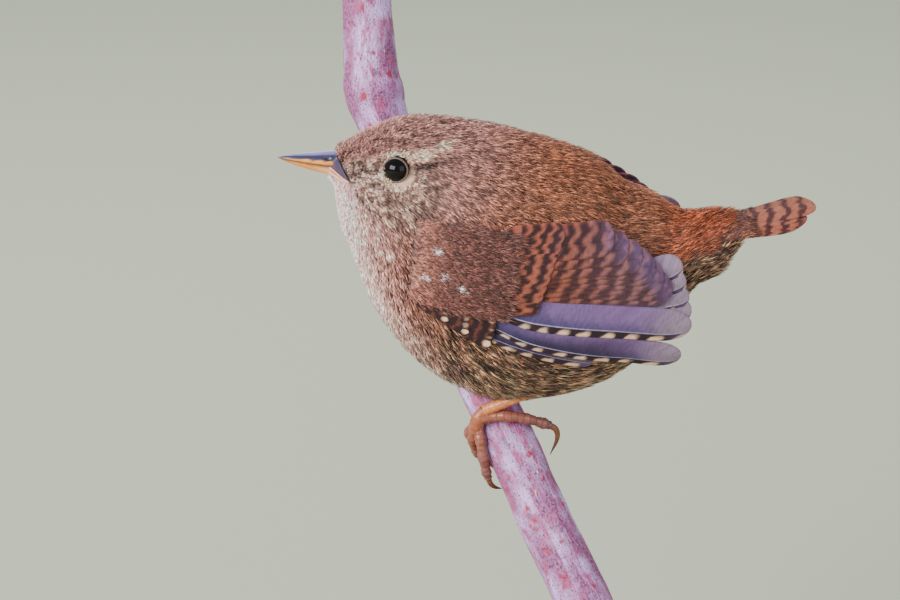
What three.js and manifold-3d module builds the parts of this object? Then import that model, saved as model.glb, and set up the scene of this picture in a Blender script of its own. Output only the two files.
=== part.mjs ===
// A life-size wren that clings to a slanting stem, held by a small round display stand.
// Millimetres, +Z up. The origin is the centre of the stand's underside.
// The bird's own frame has its bill towards -X, its left side towards -Y and its back towards +Z.

import * as THREE from "three";
import { mergeVertices } from "three/addons/utils/BufferGeometryUtils.js";
import Module from "manifold-3d";

const wasm = await Module();
wasm.setup();

// Driving dimensions

const GAP = 0.3; // left between neighbouring pieces
const LEAN = THREE.MathUtils.degToRad(9); // the bird leans its back towards its left side
const BIRD_HEIGHT = 90.7; // of the bird's own origin above the table
const BODY_SIDES = 30;

// Ribs of the body from the bill's root to the tail's root:
// top x, top z, bottom x, bottom z, half width.
const RIBS = [
  [-36.5, 20.6, -37.5, 16.8, 2.2],
  [-34.9, 22.2, -36.9, 15.1, 3.8],
  [-32.3, 23.9, -36.5, 11.4, 6.0],
  [-27.9, 26.1, -35.5, 6.9, 7.8],
  [-23.5, 27.3, -34.0, 3.5, 9.2],
  [-18.2, 27.2, -32.3, -0.9, 11.0],
  [-12.1, 26.3, -30.1, -6.1, 13.2],
  [-6.0, 24.8, -26.7, -11.7, 15.5],
  [-0.6, 23.1, -22.2, -16.9, 17.3],
  [4.7, 21.3, -16.3, -21.3, 18.3],
  [9.7, 19.0, -8.4, -25.2, 18.5],
  [14.3, 15.0, 1.3, -25.0, 17.0],
  [19.1, 12.7, 10.9, -22.2, 14.3],
  [22.8, 10.2, 19.7, -15.6, 11.4],
  [25.9, 9.0, 26.4, -5.1, 8.8],
  [29.5, 9.2, 31.2, -1.4, 6.9],
  [32.4, 9.1, 34.5, 2.9, 5.6],
];
const LAST_RIB = RIBS.length - 1;
const EGG = 0.12; // how much wider each rib is below its middle than above it
const HEAD_END = 5.15; // counted in ribs
const NECK_END = 6.2;
const TORSO_END = 13.2;
const RIB_SPACING = 6.5; // about, where the body is parted

const BILL = {
  tip: [-46.8, 19.9],
  culmen: [-36.7, 20.5],
  mouth: [-36.9, 18.6],
  chin: [-37.5, 16.9],
  halfWidth: 2.0,
  taper: 0.85,
  sag: 0.18, // of the mouth line between its ends
  droop: 0.35, // of the tip
  parting: 0.13, // half the gap between the mandibles
  tipDepth: 0.28,
  tipHalf: 0.22,
  lowerShorter: 0.5,
  steps: 8,
  sides: 10,
};
const NOSTRIL = { x: -38.6, z: 19.5, length: 1.5, height: 0.34, depth: 0.7, inset: 0.25 };
const GAPE = { x: -33.6, z: 17.9, height: 0.34, depth: 0.55 };
const EYE = {
  x: -25.4,
  z: 20.1,
  radius: 2.35,
  sunk: 1.45,
  forwards: -0.32,
  upwards: 0.22,
  lidRing: 2.35,
  lidThick: 0.42,
  lidRise: 1.16,
};

// The folded wing is mapped by s, from the wrist towards the tip, and t, across it and upwards.
const WING = {
  wrist: [-20.5, -1.85],
  slope: THREE.MathUtils.degToRad(7.9),
  bulge: 19.6,
  bulgeAt: 22,
  frontFall: 5.3,
  rearReach: 26,
  rearFall: 5.1,
  crossRadius: 21,
  deepest: 3.6,
  skinLift: 0.62,
  layerLift: 0.33,
  vaneThick: 0.5,
  rightRaise: 2.0,
  padDepth: 2.0,
  padStart: -0.4,
  padLength: 24,
  padSunk: 1.2, // into the body
  padLeast: 2, // the pad's inner face keeps this far from the middle plane
};

const TAIL = {
  rootX: 30.6,
  rootZ: 6.1,
  rise: 0.115,
  pairs: 6,
  length: 18.6,
  outerShorter: 0.1, // as a share of the length
  leftShorter: 1.6,
  firstTip: 0.9,
  tipStep: 0.8,
  firstRoot: 0.5,
  rootStep: 0.385,
  vaneHalf: 2.6,
  vaneThick: 0.5,
  crown: 0.12,
  arch: 0.02,
  layer: 0.3,
  rightLift: 0.95,
};

// The stem's middle line from its lower cut to its upper cut, with its radius.
const STEM = [
  [9.8, -9.4, 25.0, 5.05],
  [7.7, -8.5, 30.3, 5.0],
  [0.6, -4.2, 44.6, 4.8],
  [-7.1, 2.0, 60.9, 4.6],
  [-10.4, 5.7, 67.0, 4.5],
  [-14.8, 17.6, 75.6, 4.4],
  [-20.6, 25.6, 88.1, 4.35],
  [-27.2, 27.4, 107.6, 4.5],
  [-29.6, 28.6, 114.6, 5.3],
  [-30.4, 29.4, 120.2, 4.8],
  [-31.1, 30.6, 131.3, 4.45],
  [-31.4, 31.0, 137.2, 4.4],
];
const STEM_LOWER_CUT = 26.2;
const STEM_UPPER_CUT = 134.8;
const STEM_STEPS = 26;
const STEM_SIDES = 12;

// The height at which each foot holds the stem, the side it comes from (1 is the bird's left, -1 its
// right), and how far its toes are opened.
const LEFT_GRIP = { height: 60.9, facing: 1, openness: 0 };
const RIGHT_GRIP = { height: 76, facing: -1, openness: 1 };
const TARSUS = { radius: 0.85, heelRadius: 1.15, sides: 9 };
const LEFT_HEEL = [6.2, -8.6, 70.6];
const RIGHT_HEEL = [4.4, 9.0, 75.2];

// Toes in the grip's own frame: down the stem, to the right across it, and out of it; then the radius.
const ANKLE = [-1.9, -1.1, 6.3];
const PALM = [
  [-1.9, -1.1, 6.35, 1.0],
  [-1.2, -2.5, 5.9, 1.25],
  [-0.2, -3.8, 5.0, 1.25],
  [0.8, -4.6, 4.1, 1.05],
];
const TOES = {
  hind: [
    [-0.9, -2.2, 5.9, 1.1],
    [0.8, 1.8, 5.75, 0.98],
    [2.4, 4.7, 4.5, 0.92],
    [4.2, 7.1, 2.2, 0.95],
    [4.7, 7.7, 1.6, 0.75],
  ],
  outer: [
    [-0.2, -3.6, 4.8, 1.1],
    [2.4, -4.3, 4.1, 0.95],
    [5.4, -5.3, 2.8, 0.9],
    [7.9, -6.0, 1.1, 0.85],
    [8.6, -6.1, 0.6, 0.7],
  ],
  middle: [
    [-0.2, -3.8, 4.6, 1.1],
    [1.5, -5.7, 2.2, 0.95],
    [3.6, -6.1, -0.2, 0.9],
    [5.4, -5.4, -2.7, 0.85],
    [5.9, -5.1, -3.4, 0.7],
  ],
  inner: [
    [-0.4, -3.8, 4.6, 1.1],
    [0.0, -5.9, 1.4, 0.9],
    [1.2, -6.0, -1.2, 0.85],
    [2.2, -5.0, -3.4, 0.8],
    [2.5, -4.6, -3.9, 0.7],
  ],
};
const CLAWS = {
  hind: [
    [4.9, 8.0, 1.3, 0.68],
    [5.9, 8.5, 0.6, 0.58],
    [7.5, 7.9, -0.2, 0.42],
    [9.4, 5.6, -0.8, 0.12],
  ],
  outer: [
    [8.85, -6.2, 0.3, 0.6],
    [9.7, -6.3, -0.6, 0.5],
    [10.6, -5.9, -1.6, 0.36],
    [11.2, -5.0, -2.6, 0.1],
  ],
  middle: [
    [6.15, -5.0, -3.7, 0.6],
    [7.0, -4.5, -4.7, 0.5],
    [7.8, -3.4, -5.5, 0.36],
    [8.5, -2.0, -5.6, 0.1],
  ],
  inner: [
    [2.75, -4.45, -4.2, 0.56],
    [3.4, -3.8, -5.0, 0.46],
    [4.1, -2.6, -5.6, 0.33],
    [4.6, -1.2, -5.5, 0.1],
  ],
};

const STAND = {
  radius: 38,
  foot: 36.5,
  thickness: 8,
  chamfer: 1.4,
  rodRadius: 2.2,
  collarRadius: 4.6,
  collarThick: 1.6,
  collarChamfer: 0.6,
  bossRadius: 4.4,
  bossHeight: 2.4,
  bossChamfer: 1,
  rod: [9.2, -9.1],
};

// Materials

const finish = (color, roughness, metalness = 0) =>
  new THREE.MeshStandardMaterial({ color, roughness, metalness });
const MATERIALS = {
  feathers: finish(0x9a6238, 0.9),
  wing: finish(0x7d5238, 0.85),
  bill: finish(0x5b5a66, 0.45),
  billPale: finish(0xe0a04a, 0.45),
  eye: finish(0x0b0909, 0.1),
  leg: finish(0xb0703c, 0.6),
  claw: finish(0x9a6a3c, 0.4),
  bark: finish(0xb68fa6, 0.75),
  wood: finish(0x4a3020, 0.5),
  steel: finish(0xb9bcc0, 0.3, 1),
  brass: finish(0xc09a52, 0.35, 1),
};

// Solids: closed meshes, and how they are joined and cut

// Builds a closed geometry from points and triangles, and turns it so that its faces point out.
function closedGeometry(points, triangles) {
  const volume = triangles.reduce((sum, [a, b, c]) => {
    return sum + points[a].dot(new THREE.Vector3().crossVectors(points[b], points[c]));
  }, 0);
  const facing = volume < 0 ? triangles.map(([a, b, c]) => [a, c, b]) : triangles;
  const geometry = new THREE.BufferGeometry().setFromPoints(points);
  geometry.setIndex(facing.flat());
  return geometry;
}

// Joins rings of points of equal count into a skin, and closes each end round its middle.
function loft(rings) {
  const count = rings[0].length;
  const points = rings.flat();
  const triangles = [];
  for (let row = 0; row < rings.length - 1; row += 1) {
    for (let i = 0; i < count; i += 1) {
      const next = (i + 1) % count;
      const a = row * count + i;
      const b = row * count + next;
      triangles.push([a, b, b + count], [a, b + count, a + count]);
    }
  }
  for (const [row, turn] of [[0, -1], [rings.length - 1, 1]]) {
    const middle = rings[row].reduce((sum, p) => sum.add(p), new THREE.Vector3());
    const hub = points.push(middle.divideScalar(count)) - 1;
    for (let i = 0; i < count; i += 1) {
      const a = row * count + i;
      const b = row * count + ((i + 1) % count);
      triangles.push(turn > 0 ? [a, b, hub] : [b, a, hub]);
    }
  }
  return closedGeometry(points, triangles);
}

// Closes a thin plate between an upper and a lower grid, both split into triangles alike.
function plate(upper, lower) {
  const rows = upper.length;
  const columns = upper[0].length;
  const points = [...upper.flat(), ...lower.flat()];
  const under = rows * columns;
  const at = (row, column) => row * columns + column;
  const triangles = [];
  for (let r = 0; r < rows - 1; r += 1) {
    for (let c = 0; c < columns - 1; c += 1) {
      const quad = [at(r, c), at(r, c + 1), at(r + 1, c + 1), at(r + 1, c)];
      triangles.push([quad[0], quad[1], quad[2]], [quad[0], quad[2], quad[3]]);
      const low = quad.map((i) => i + under);
      triangles.push([low[0], low[2], low[1]], [low[0], low[3], low[2]]);
    }
  }
  const rim = [];
  for (let c = 0; c < columns - 1; c += 1) rim.push([at(0, c), at(0, c + 1)]);
  for (let r = 0; r < rows - 1; r += 1) rim.push([at(r, columns - 1), at(r + 1, columns - 1)]);
  for (let c = columns - 1; c > 0; c -= 1) rim.push([at(rows - 1, c), at(rows - 1, c - 1)]);
  for (let r = rows - 1; r > 0; r -= 1) rim.push([at(r, 0), at(r - 1, 0)]);
  for (const [a, b] of rim) {
    triangles.push([b, a, a + under], [b, a + under, b + under]);
  }
  return closedGeometry(points, triangles);
}

// A round tube through stations of x, y, z and radius, with flat ends.
function tube(stations, sides, steps, grow = 0) {
  const path = new THREE.CatmullRomCurve3(stations.map(([x, y, z]) => new THREE.Vector3(x, y, z)));
  const last = stations.length - 1;
  const rings = [];
  let side = new THREE.Vector3(0, -1, 0.01);
  for (let i = 0; i <= steps; i += 1) {
    const along = i / steps;
    const tangent = path.getTangent(along);
    side = side.clone().addScaledVector(tangent, -side.dot(tangent)).normalize();
    const other = new THREE.Vector3().crossVectors(tangent, side);
    const from = Math.min(last - 1, Math.floor(along * last));
    const [before, after] = [stations[from][3], stations[from + 1][3]];
    const radius = THREE.MathUtils.lerp(before, after, along * last - from) + grow;
    const centre = path.getPoint(along);
    rings.push(
      Array.from({ length: sides }, (_, k) => {
        const angle = (k / sides) * Math.PI * 2;
        return centre
          .clone()
          .addScaledVector(side, Math.cos(angle) * radius)
          .addScaledVector(other, Math.sin(angle) * radius);
      }),
    );
  }
  return loft(rings);
}

function solid(geometry) {
  const bare = geometry.clone();
  bare.deleteAttribute("normal");
  bare.deleteAttribute("uv");
  const merged = mergeVertices(bare, 1e-4);
  return new wasm.Manifold(
    new wasm.Mesh({
      numProp: 3,
      vertProperties: new Float32Array(merged.attributes.position.array),
      triVerts: new Uint32Array(merged.index.array),
    }),
  );
}

// The largest closed surface of a solid, as a geometry.
function largestGeometry(shape) {
  const pieces = shape.decompose().sort((a, b) => b.volume() - a.volume());
  const mesh = pieces[0].getMesh();
  const geometry = new THREE.BufferGeometry();
  geometry.setAttribute("position", new THREE.BufferAttribute(mesh.vertProperties, 3));
  geometry.setIndex(new THREE.BufferAttribute(mesh.triVerts, 1));
  return geometry;
}

function joined(geometries) {
  return geometries.map(solid).reduce((sum, piece) => sum.add(piece));
}

const group = new THREE.Group();
const bird = new THREE.Group();
bird.position.set(0, 0, BIRD_HEIGHT);
bird.rotation.x = LEAN;
bird.updateMatrix();
group.add(bird);

function addNode(parent, name, geometry, material) {
  const mesh = new THREE.Mesh(geometry, material);
  mesh.name = name;
  mesh.geometry.computeVertexNormals();
  parent.add(mesh);
}

// Body: one lofted egg parted into head, neck, torso and rump

// The rib at a place counted in ribs, on a smooth curve through the listed ones.
function ribAt(place) {
  const from = Math.min(LAST_RIB - 1, Math.max(0, Math.floor(place)));
  const f = place - from;
  const row = (i) => RIBS[Math.min(LAST_RIB, Math.max(0, i))];
  const [p0, p1, p2, p3] = [row(from - 1), row(from), row(from + 1), row(from + 2)];
  const value = p1.map((b, k) => {
    const slopeIn = (p2[k] - p0[k]) / 2;
    const slopeOut = (p3[k] - b) / 2;
    const rest = p2[k] - b;
    const square = 3 * rest - 2 * slopeIn - slopeOut;
    const cube = slopeIn + slopeOut - 2 * rest;
    return b + f * slopeIn + f * f * square + f ** 3 * cube;
  });
  const [topX, topZ, lowX, lowZ, half] = value;
  return {
    x: (topX + lowX) / 2,
    z: (topZ + lowZ) / 2,
    upX: (topX - lowX) / 2,
    upZ: (topZ - lowZ) / 2,
    half,
  };
}

function bodyRing(place, grow = 0) {
  const rib = ribAt(place);
  const reach = 1 + grow / Math.hypot(rib.upX, rib.upZ);
  return Array.from({ length: BODY_SIDES }, (_, i) => {
    const angle = (i / BODY_SIDES) * Math.PI * 2;
    const up = Math.cos(angle);
    const out = Math.sin(angle) * (rib.half + grow) * (1 - EGG * up);
    return new THREE.Vector3(rib.x + rib.upX * up * reach, out, rib.z + rib.upZ * up * reach);
  });
}

// A length of the body between two places counted in ribs.
function bodyPiece(from, to, steps, grow = 0) {
  const place = (i) => from + ((to - from) * i) / steps;
  return loft(Array.from({ length: steps + 1 }, (_, i) => bodyRing(place(i), grow)));
}

// The body's half width above or below any point of its middle plane, 0 outside its outline.
function bodyHalfWidth(x, z) {
  let low = 0;
  let high = LAST_RIB;
  for (let i = 0; i < 24; i += 1) {
    const middle = (low + high) / 2;
    const rib = ribAt(middle);
    const behind = (x - rib.x) * rib.upZ - (z - rib.z) * rib.upX;
    if (behind > 0) low = middle;
    else high = middle;
  }
  const rib = ribAt((low + high) / 2);
  const up = ((x - rib.x) * rib.upX + (z - rib.z) * rib.upZ) / (rib.upX ** 2 + rib.upZ ** 2);
  if (Math.abs(up) >= 1 || high < 1e-3 || low > LAST_RIB - 1e-3) return 0;
  return rib.half * Math.sqrt(1 - up * up) * (1 - EGG * up);
}

// Places counted in ribs that are half a gap either side of a cut.
const cutBefore = (place) => place - GAP / 2 / RIB_SPACING;
const cutAfter = (place) => place + GAP / 2 / RIB_SPACING;

const eyeCentre = (side) => {
  return new THREE.Vector3(EYE.x, side * (bodyHalfWidth(EYE.x, EYE.z) - EYE.sunk), EYE.z);
};

function headGeometry() {
  let head = solid(bodyPiece(0, cutBefore(HEAD_END), 15));
  for (const side of [-1, 1]) {
    const centre = eyeCentre(side);
    const outward = new THREE.Vector3(EYE.forwards, side, EYE.upwards).normalize();
    const turn = new THREE.Quaternion().setFromUnitVectors(new THREE.Vector3(0, 0, 1), outward);
    const rim = centre.clone().addScaledVector(outward, EYE.lidRise);
    const lids = new THREE.TorusGeometry(EYE.lidRing, EYE.lidThick, 5, 14).applyQuaternion(turn);
    lids.translate(...rim);
    const socket = new THREE.SphereGeometry(EYE.radius + GAP, 14, 9).translate(...centre);
    const mouthLength = GAPE.x - BILL.mouth[0] + 1;
    const mouth = new THREE.BoxGeometry(mouthLength, GAPE.depth * 2, GAPE.height);
    const mouthX = GAPE.x - mouthLength / 2;
    mouth.rotateY(Math.atan2(BILL.mouth[1] - GAPE.z, GAPE.x - BILL.mouth[0]));
    mouth.translate(mouthX, side * bodyHalfWidth(mouthX, GAPE.z), (GAPE.z + BILL.mouth[1]) / 2);
    head = head.add(solid(lids)).subtract(solid(socket)).subtract(solid(mouth));
  }
  return largestGeometry(head);
}

// Bill

// One mandible: half-round sections between the mouth line and the bill's outer edge.
function mandible(outerRoot, direction) {
  const rings = [];
  for (let i = 0; i <= BILL.steps; i += 1) {
    const f = i / BILL.steps;
    const slim = (1 - f) ** BILL.taper;
    const tipX = BILL.tip[0] + (direction < 0 ? BILL.lowerShorter : 0);
    const mouthX = THREE.MathUtils.lerp(BILL.mouth[0] - GAP, tipX, f);
    const straightZ = THREE.MathUtils.lerp(BILL.mouth[1], BILL.tip[1], f);
    const mouthZ = straightZ - BILL.sag * Math.sin(Math.PI * f) - BILL.droop * f ** 3;
    const edgeZ = mouthZ + direction * BILL.parting;
    const depth = Math.abs(outerRoot[1] - BILL.mouth[1]) * slim + BILL.tipDepth;
    const half = BILL.halfWidth * slim + BILL.tipHalf;
    const slant = (outerRoot[0] - BILL.mouth[0]) * (1 - f);
    rings.push(
      Array.from({ length: BILL.sides }, (_, k) => {
        const angle = (k / (BILL.sides - 1)) * Math.PI;
        const rise = Math.sin(angle) * depth;
        return new THREE.Vector3(
          mouthX + slant * Math.sin(angle),
          Math.cos(angle) * half,
          edgeZ + direction * rise,
        );
      }),
    );
  }
  return loft(rings);
}

function upperMandible() {
  let bill = solid(mandible(BILL.culmen, 1));
  for (const side of [-1, 1]) {
    const slit = new THREE.SphereGeometry(1, 10, 8);
    slit.scale(NOSTRIL.length / 2, NOSTRIL.depth, NOSTRIL.height);
    slit.translate(NOSTRIL.x, side * (BILL.halfWidth - NOSTRIL.inset), NOSTRIL.z);
    bill = bill.subtract(solid(slit));
  }
  return largestGeometry(bill);
}

// Wings

// A point of a folded wing: s and t on its map, depth below its outer layer.
function wingPoint(side, s, t, depth) {
  const raise = side > 0 ? WING.rightRaise : 0;
  const x = WING.wrist[0] + s * Math.cos(WING.slope) + t * Math.sin(WING.slope);
  const z = WING.wrist[1] - s * Math.sin(WING.slope) + t * Math.cos(WING.slope) + raise;
  const fromBulge = s - WING.bulgeAt;
  const fall =
    fromBulge < 0
      ? WING.frontFall * (fromBulge / WING.bulgeAt) ** 2
      : WING.rearFall * (fromBulge / WING.rearReach) ** 2;
  const middle = 3 * THREE.MathUtils.clamp(s / 25, 0, 1);
  const outer = WING.bulge - fall - (t - middle) ** 2 / (2 * WING.crossRadius) - depth;
  const thickening = 0.35 + 0.65 * THREE.MathUtils.smoothstep(s, -3, 9);
  const lift = WING.skinLift + WING.layerLift * (WING.deepest - depth) * thickening;
  const onBody = bodyHalfWidth(x, z) + lift;
  const y = (outer + onBody + Math.hypot(outer - onBody, 0.8)) / 2;
  return new THREE.Vector3(x, side * y, z);
}

// Half widths of a vane from its root to its tip, as shares of its widest half width.
const LONG_VANE = [[0, 0.55], [0.35, 0.95], [0.7, 1], [0.93, 0.72], [1, 0.28]];
const SHORT_VANE = [[0, 0.7], [0.7, 1], [1, 0.4]];

// One vane on the wing, from its root to its tip on the wing's map.
function wingVane(side, { root, tip, half, depth }, outline) {
  const length = Math.hypot(tip[0] - root[0], tip[1] - root[1]);
  const along = [(tip[0] - root[0]) / length, (tip[1] - root[1]) / length];
  const corner = (share, across, level) => {
    const s = root[0] + along[0] * length * share - along[1] * across;
    const t = root[1] + along[1] * length * share + along[0] * across;
    return wingPoint(side, s, t, level);
  };
  const face = (level) =>
    outline.map(([share, w]) => [-1, 1].map((c) => corner(share, c * w * half, level)));
  return plate(face(depth), face(depth + WING.vaneThick));
}

// Rows of vanes on the wing's map, from the flight feathers to the smallest coverts. Each row is an even
// fan between its first and last root and tip; bow pushes its middle tips further out.
const VANE_ROWS = [
  {
    count: 3,
    roots: [[11, 2.6], [11.5, -3]],
    tips: [[47.8, 0.4], [46.8, -6.4]],
    bow: 0,
    half: 2.9,
    depth: [2.5, 3.1],
    outline: LONG_VANE,
  },
  {
    count: 4,
    roots: [[12.5, 5.2], [12, 3.6]],
    tips: [[44.6, 11.6], [47.4, 3.2]],
    bow: 0,
    half: 2.9,
    depth: [2.7, 2.85],
    outline: LONG_VANE,
  },
  {
    count: 4,
    roots: [[12, 7.2], [13, 11.6]],
    tips: [[43.4, 7.4], [39, 12]],
    bow: 0,
    half: 2.75,
    depth: [2.1, 1.5],
    outline: LONG_VANE,
  },
  {
    count: 3,
    roots: [[13.4, 10.6], [13, 13.4]],
    tips: [[37.2, 13.4], [31.8, 16.2]],
    bow: 0,
    half: 2.9,
    depth: [1.3, 0.85],
    outline: LONG_VANE,
  },
  {
    count: 6,
    roots: [[10.5, 2.6], [11.5, 14.4]],
    tips: [[20, 4], [22.8, 16.4]],
    bow: 0,
    half: 2,
    depth: [0.9, 0.5],
    outline: SHORT_VANE,
  },
  {
    count: 5,
    roots: [[6.2, 1.8], [7, 12.6]],
    tips: [[12.8, 2.8], [15, 14.2]],
    bow: 0,
    half: 1.9,
    depth: [0.5, 0.3],
    outline: SHORT_VANE,
  },
  {
    count: 5,
    roots: [[0.2, 1], [0.2, 11.2]],
    tips: [[7.6, 1.8], [8.4, 12]],
    bow: 0,
    half: 1.9,
    depth: [0.15, 0],
    outline: SHORT_VANE,
  },
  {
    count: 4,
    roots: [[3.4, 0.4], [4.6, -1.6]],
    tips: [[12.2, 1], [13.6, -5.2]],
    bow: 0.4,
    half: 1.5,
    depth: [0.8, 1.2],
    outline: SHORT_VANE,
  },
];

function between([a, b], [c, d], f) {
  return [a + (c - a) * f, b + (d - b) * f];
}

function rowOfVanes(side, row) {
  return Array.from({ length: row.count }, (_, i) => {
    const f = i / (row.count - 1);
    const root = between(row.roots[0], row.roots[1], f);
    const tip = between(row.tips[0], row.tips[1], f);
    tip[0] += row.bow * Math.sin(Math.PI * f);
    const depth = THREE.MathUtils.lerp(row.depth[0], row.depth[1], f);
    return wingVane(side, { root, tip, half: row.half, depth }, row.outline);
  });
}

// The flat pad of the wing's arm, under the coverts and down into the body. It widens towards its rear.
function wingPad(side) {
  const stations = Array.from({ length: 6 }, (_, i) => WING.padStart + (WING.padLength * i) / 5);
  const grid = (level) =>
    stations.map((s) => {
      const low = -0.4 - 4.4 * THREE.MathUtils.smoothstep(s, 1, 12);
      const high = 11 + 5.5 * THREE.MathUtils.smoothstep(s, 0, 20);
      return Array.from({ length: 5 }, (_, k) => level(s, low + ((high - low) * k) / 4));
    });
  const outside = grid((s, t) => wingPoint(side, s, t, WING.padDepth));
  const inside = grid((s, t) => {
    const point = wingPoint(side, s, t, WING.padDepth);
    const sunk = Math.min(Math.abs(point.y), bodyHalfWidth(point.x, point.z)) - WING.padSunk;
    return new THREE.Vector3(point.x, side * Math.max(WING.padLeast, sunk), point.z);
  });
  return plate(outside, inside);
}

const clearBody = solid(bodyPiece(0, LAST_RIB, 26, GAP));

function wingGeometry(side) {
  const vanes = VANE_ROWS.flatMap((row) => rowOfVanes(side, row));
  return largestGeometry(joined([wingPad(side), ...vanes]).subtract(clearBody));
}

// Tail: two halves of six vanes, each lying over the next one out

function tailVane(side, order) {
  const spread = order / (TAIL.pairs - 1);
  const tipY = side * (TAIL.firstTip + order * TAIL.tipStep);
  const rootY = side * (TAIL.firstRoot + order * TAIL.rootStep);
  const shorter = side < 0 ? TAIL.leftShorter : 0;
  const length = TAIL.length * (1 - TAIL.outerShorter * spread ** 2) - shorter;
  const drop = order * TAIL.layer;
  const lift = side > 0 ? TAIL.rightLift : 0;
  const face = (level) =>
    LONG_VANE.map(([share, w]) =>
      [-1, 0, 1].map((column) => {
        const y = THREE.MathUtils.lerp(rootY, tipY, share) + column * w * TAIL.vaneHalf;
        const x = TAIL.rootX + length * share;
        const crown = column === 0 ? TAIL.crown : 0;
        const arch = TAIL.arch * y * y * (1 - share);
        const middle = TAIL.rootZ + length * share * TAIL.rise + lift * share - drop;
        return new THREE.Vector3(x, y, middle - arch + level + crown);
      }),
    );
  return plate(face(TAIL.vaneThick / 2), face(-TAIL.vaneThick / 2));
}

function tailGeometry() {
  const orders = Array.from({ length: TAIL.pairs }, (_, order) => order);
  const vanes = [-1, 1].flatMap((side) => orders.map((order) => tailVane(side, order)));
  return largestGeometry(joined(vanes).subtract(clearBody));
}

// Stem

const stemGeometry = (grow = 0) => tube(STEM, STEM_SIDES, STEM_STEPS, grow);

function perchGeometry() {
  const room = STEM_UPPER_CUT - STEM_LOWER_CUT;
  const cuts = new THREE.BoxGeometry(200, 200, room).translate(0, 0, STEM_LOWER_CUT + room / 2);
  return largestGeometry(solid(stemGeometry()).intersect(solid(cuts)));
}

const clearStem = solid(stemGeometry(GAP));
const stemInBird = solid(stemGeometry(GAP).applyMatrix4(bird.matrix.clone().invert()));
const bodyInRoom = solid(bodyPiece(0, LAST_RIB, 26, GAP).applyMatrix4(bird.matrix));

// Legs

// A grip's frame, which follows the stem's bend: down the stem, to the right across it and out of it.
// Its openness turns the toes' ends back from the stem's other face and the hind toe outwards.
function gripFrame({ height, facing, openness }) {
  const path = new THREE.CatmullRomCurve3(STEM.map(([x, y, z]) => new THREE.Vector3(x, y, z)));
  const length = path.getLength();
  const quarter = Math.PI / 2;
  let start = 0;
  while (path.getPointAt(start).z < height) start += 0.002;
  return ([h, v, n]) => {
    const share = THREE.MathUtils.clamp(start - h / length, 0, 1);
    const down = path.getTangentAt(share).negate();
    const out = new THREE.Vector3(0, -facing, 0);
    out.addScaledVector(down, -out.dot(down)).normalize();
    const right = new THREE.Vector3().crossVectors(down, out);
    if (right.x < 0) right.negate();
    let turn = Math.atan2(v, n);
    if (turn > 0) turn *= 1 - 0.5 * openness;
    if (turn < -quarter) turn = -quarter + (turn + quarter) * (1 - 0.75 * openness);
    const reach = Math.hypot(v, n);
    return path
      .getPointAt(share)
      .addScaledVector(right, Math.sin(turn) * reach)
      .addScaledVector(out, Math.cos(turn) * reach);
  };
}

const inGrip = (place, stations) =>
  stations.map(([h, v, n, radius]) => [...place([h, v, n]).toArray(), radius]);

function tarsusTube(place, heel, grow = 0) {
  const ankle = place(ANKLE);
  const top = new THREE.Vector3(...heel);
  const at = (f) => ankle.clone().lerp(top, f).toArray();
  const { radius, heelRadius, sides } = TARSUS;
  const stations = [
    [...at(0.09), radius * 1.12],
    [...at(0.25), radius],
    [...at(0.7), radius],
    [...at(1), heelRadius],
  ];
  return solid(tube(stations, sides, 6, grow));
}

function tarsusGeometry(place, heel) {
  return largestGeometry(tarsusTube(place, heel).subtract(bodyInRoom).subtract(clearStem));
}

function footGeometry(place, heel) {
  const pieces = [tube(inGrip(place, PALM), 8, 4)];
  for (const toe of Object.values(TOES)) pieces.push(tube(inGrip(place, toe), 7, 6));
  const room = tarsusTube(place, heel, GAP).add(clearStem).add(bodyInRoom);
  return largestGeometry(joined(pieces).subtract(room));
}

function clawGeometry(place, stations) {
  const claw = solid(tube(inGrip(place, stations), 7, 5));
  return largestGeometry(claw.subtract(clearStem).subtract(bodyInRoom));
}

function addLeg(side, grip, heel) {
  const place = gripFrame(grip);
  addNode(group, `tarsus_${side}`, tarsusGeometry(place, heel), MATERIALS.leg);
  addNode(group, `foot_${side}`, footGeometry(place, heel), MATERIALS.leg);
  for (const [toe, stations] of Object.entries(CLAWS)) {
    addNode(group, `claw_${side}_${toe}`, clawGeometry(place, stations), MATERIALS.claw);
  }
}

// Stand

function turned(profile, sides) {
  const points = profile.map(([r, z]) => new THREE.Vector2(r, z));
  return new THREE.LatheGeometry(points, sides).rotateX(Math.PI / 2);
}

function standBase() {
  const { radius, foot, thickness, chamfer } = STAND;
  const edge = [[foot, 0], [radius, 1], [radius, thickness - chamfer], [radius - chamfer, thickness]];
  return turned([[0, 0], ...edge, [0, thickness]], 48);
}

function standRod() {
  const { bossRadius, bossHeight, bossChamfer, rodRadius, thickness, collarThick, rod } = STAND;
  const foot = thickness + GAP;
  const shoulder = foot + bossHeight;
  const top = STEM_LOWER_CUT - 2 * GAP - collarThick;
  const boss = [
    [bossRadius, foot],
    [bossRadius, shoulder - bossChamfer],
    [bossRadius - bossChamfer, shoulder],
  ];
  const shank = [[rodRadius, shoulder], [rodRadius, top]];
  return turned([[0, foot], ...boss, ...shank, [0, top]], 20).translate(...rod, 0);
}

function standCollar() {
  const { collarRadius, collarThick, collarChamfer, rod } = STAND;
  const top = STEM_LOWER_CUT - GAP;
  const low = top - collarThick;
  const rim = [
    [collarRadius - collarChamfer, low],
    [collarRadius, low + collarChamfer],
    [collarRadius, top],
  ];
  return turned([[0, low], ...rim, [0, top]], 24).translate(...rod, 0);
}

// Assembly

addNode(bird, "head", headGeometry(), MATERIALS.feathers);
addNode(bird, "neck", bodyPiece(cutAfter(HEAD_END), cutBefore(NECK_END), 4), MATERIALS.feathers);
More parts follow.
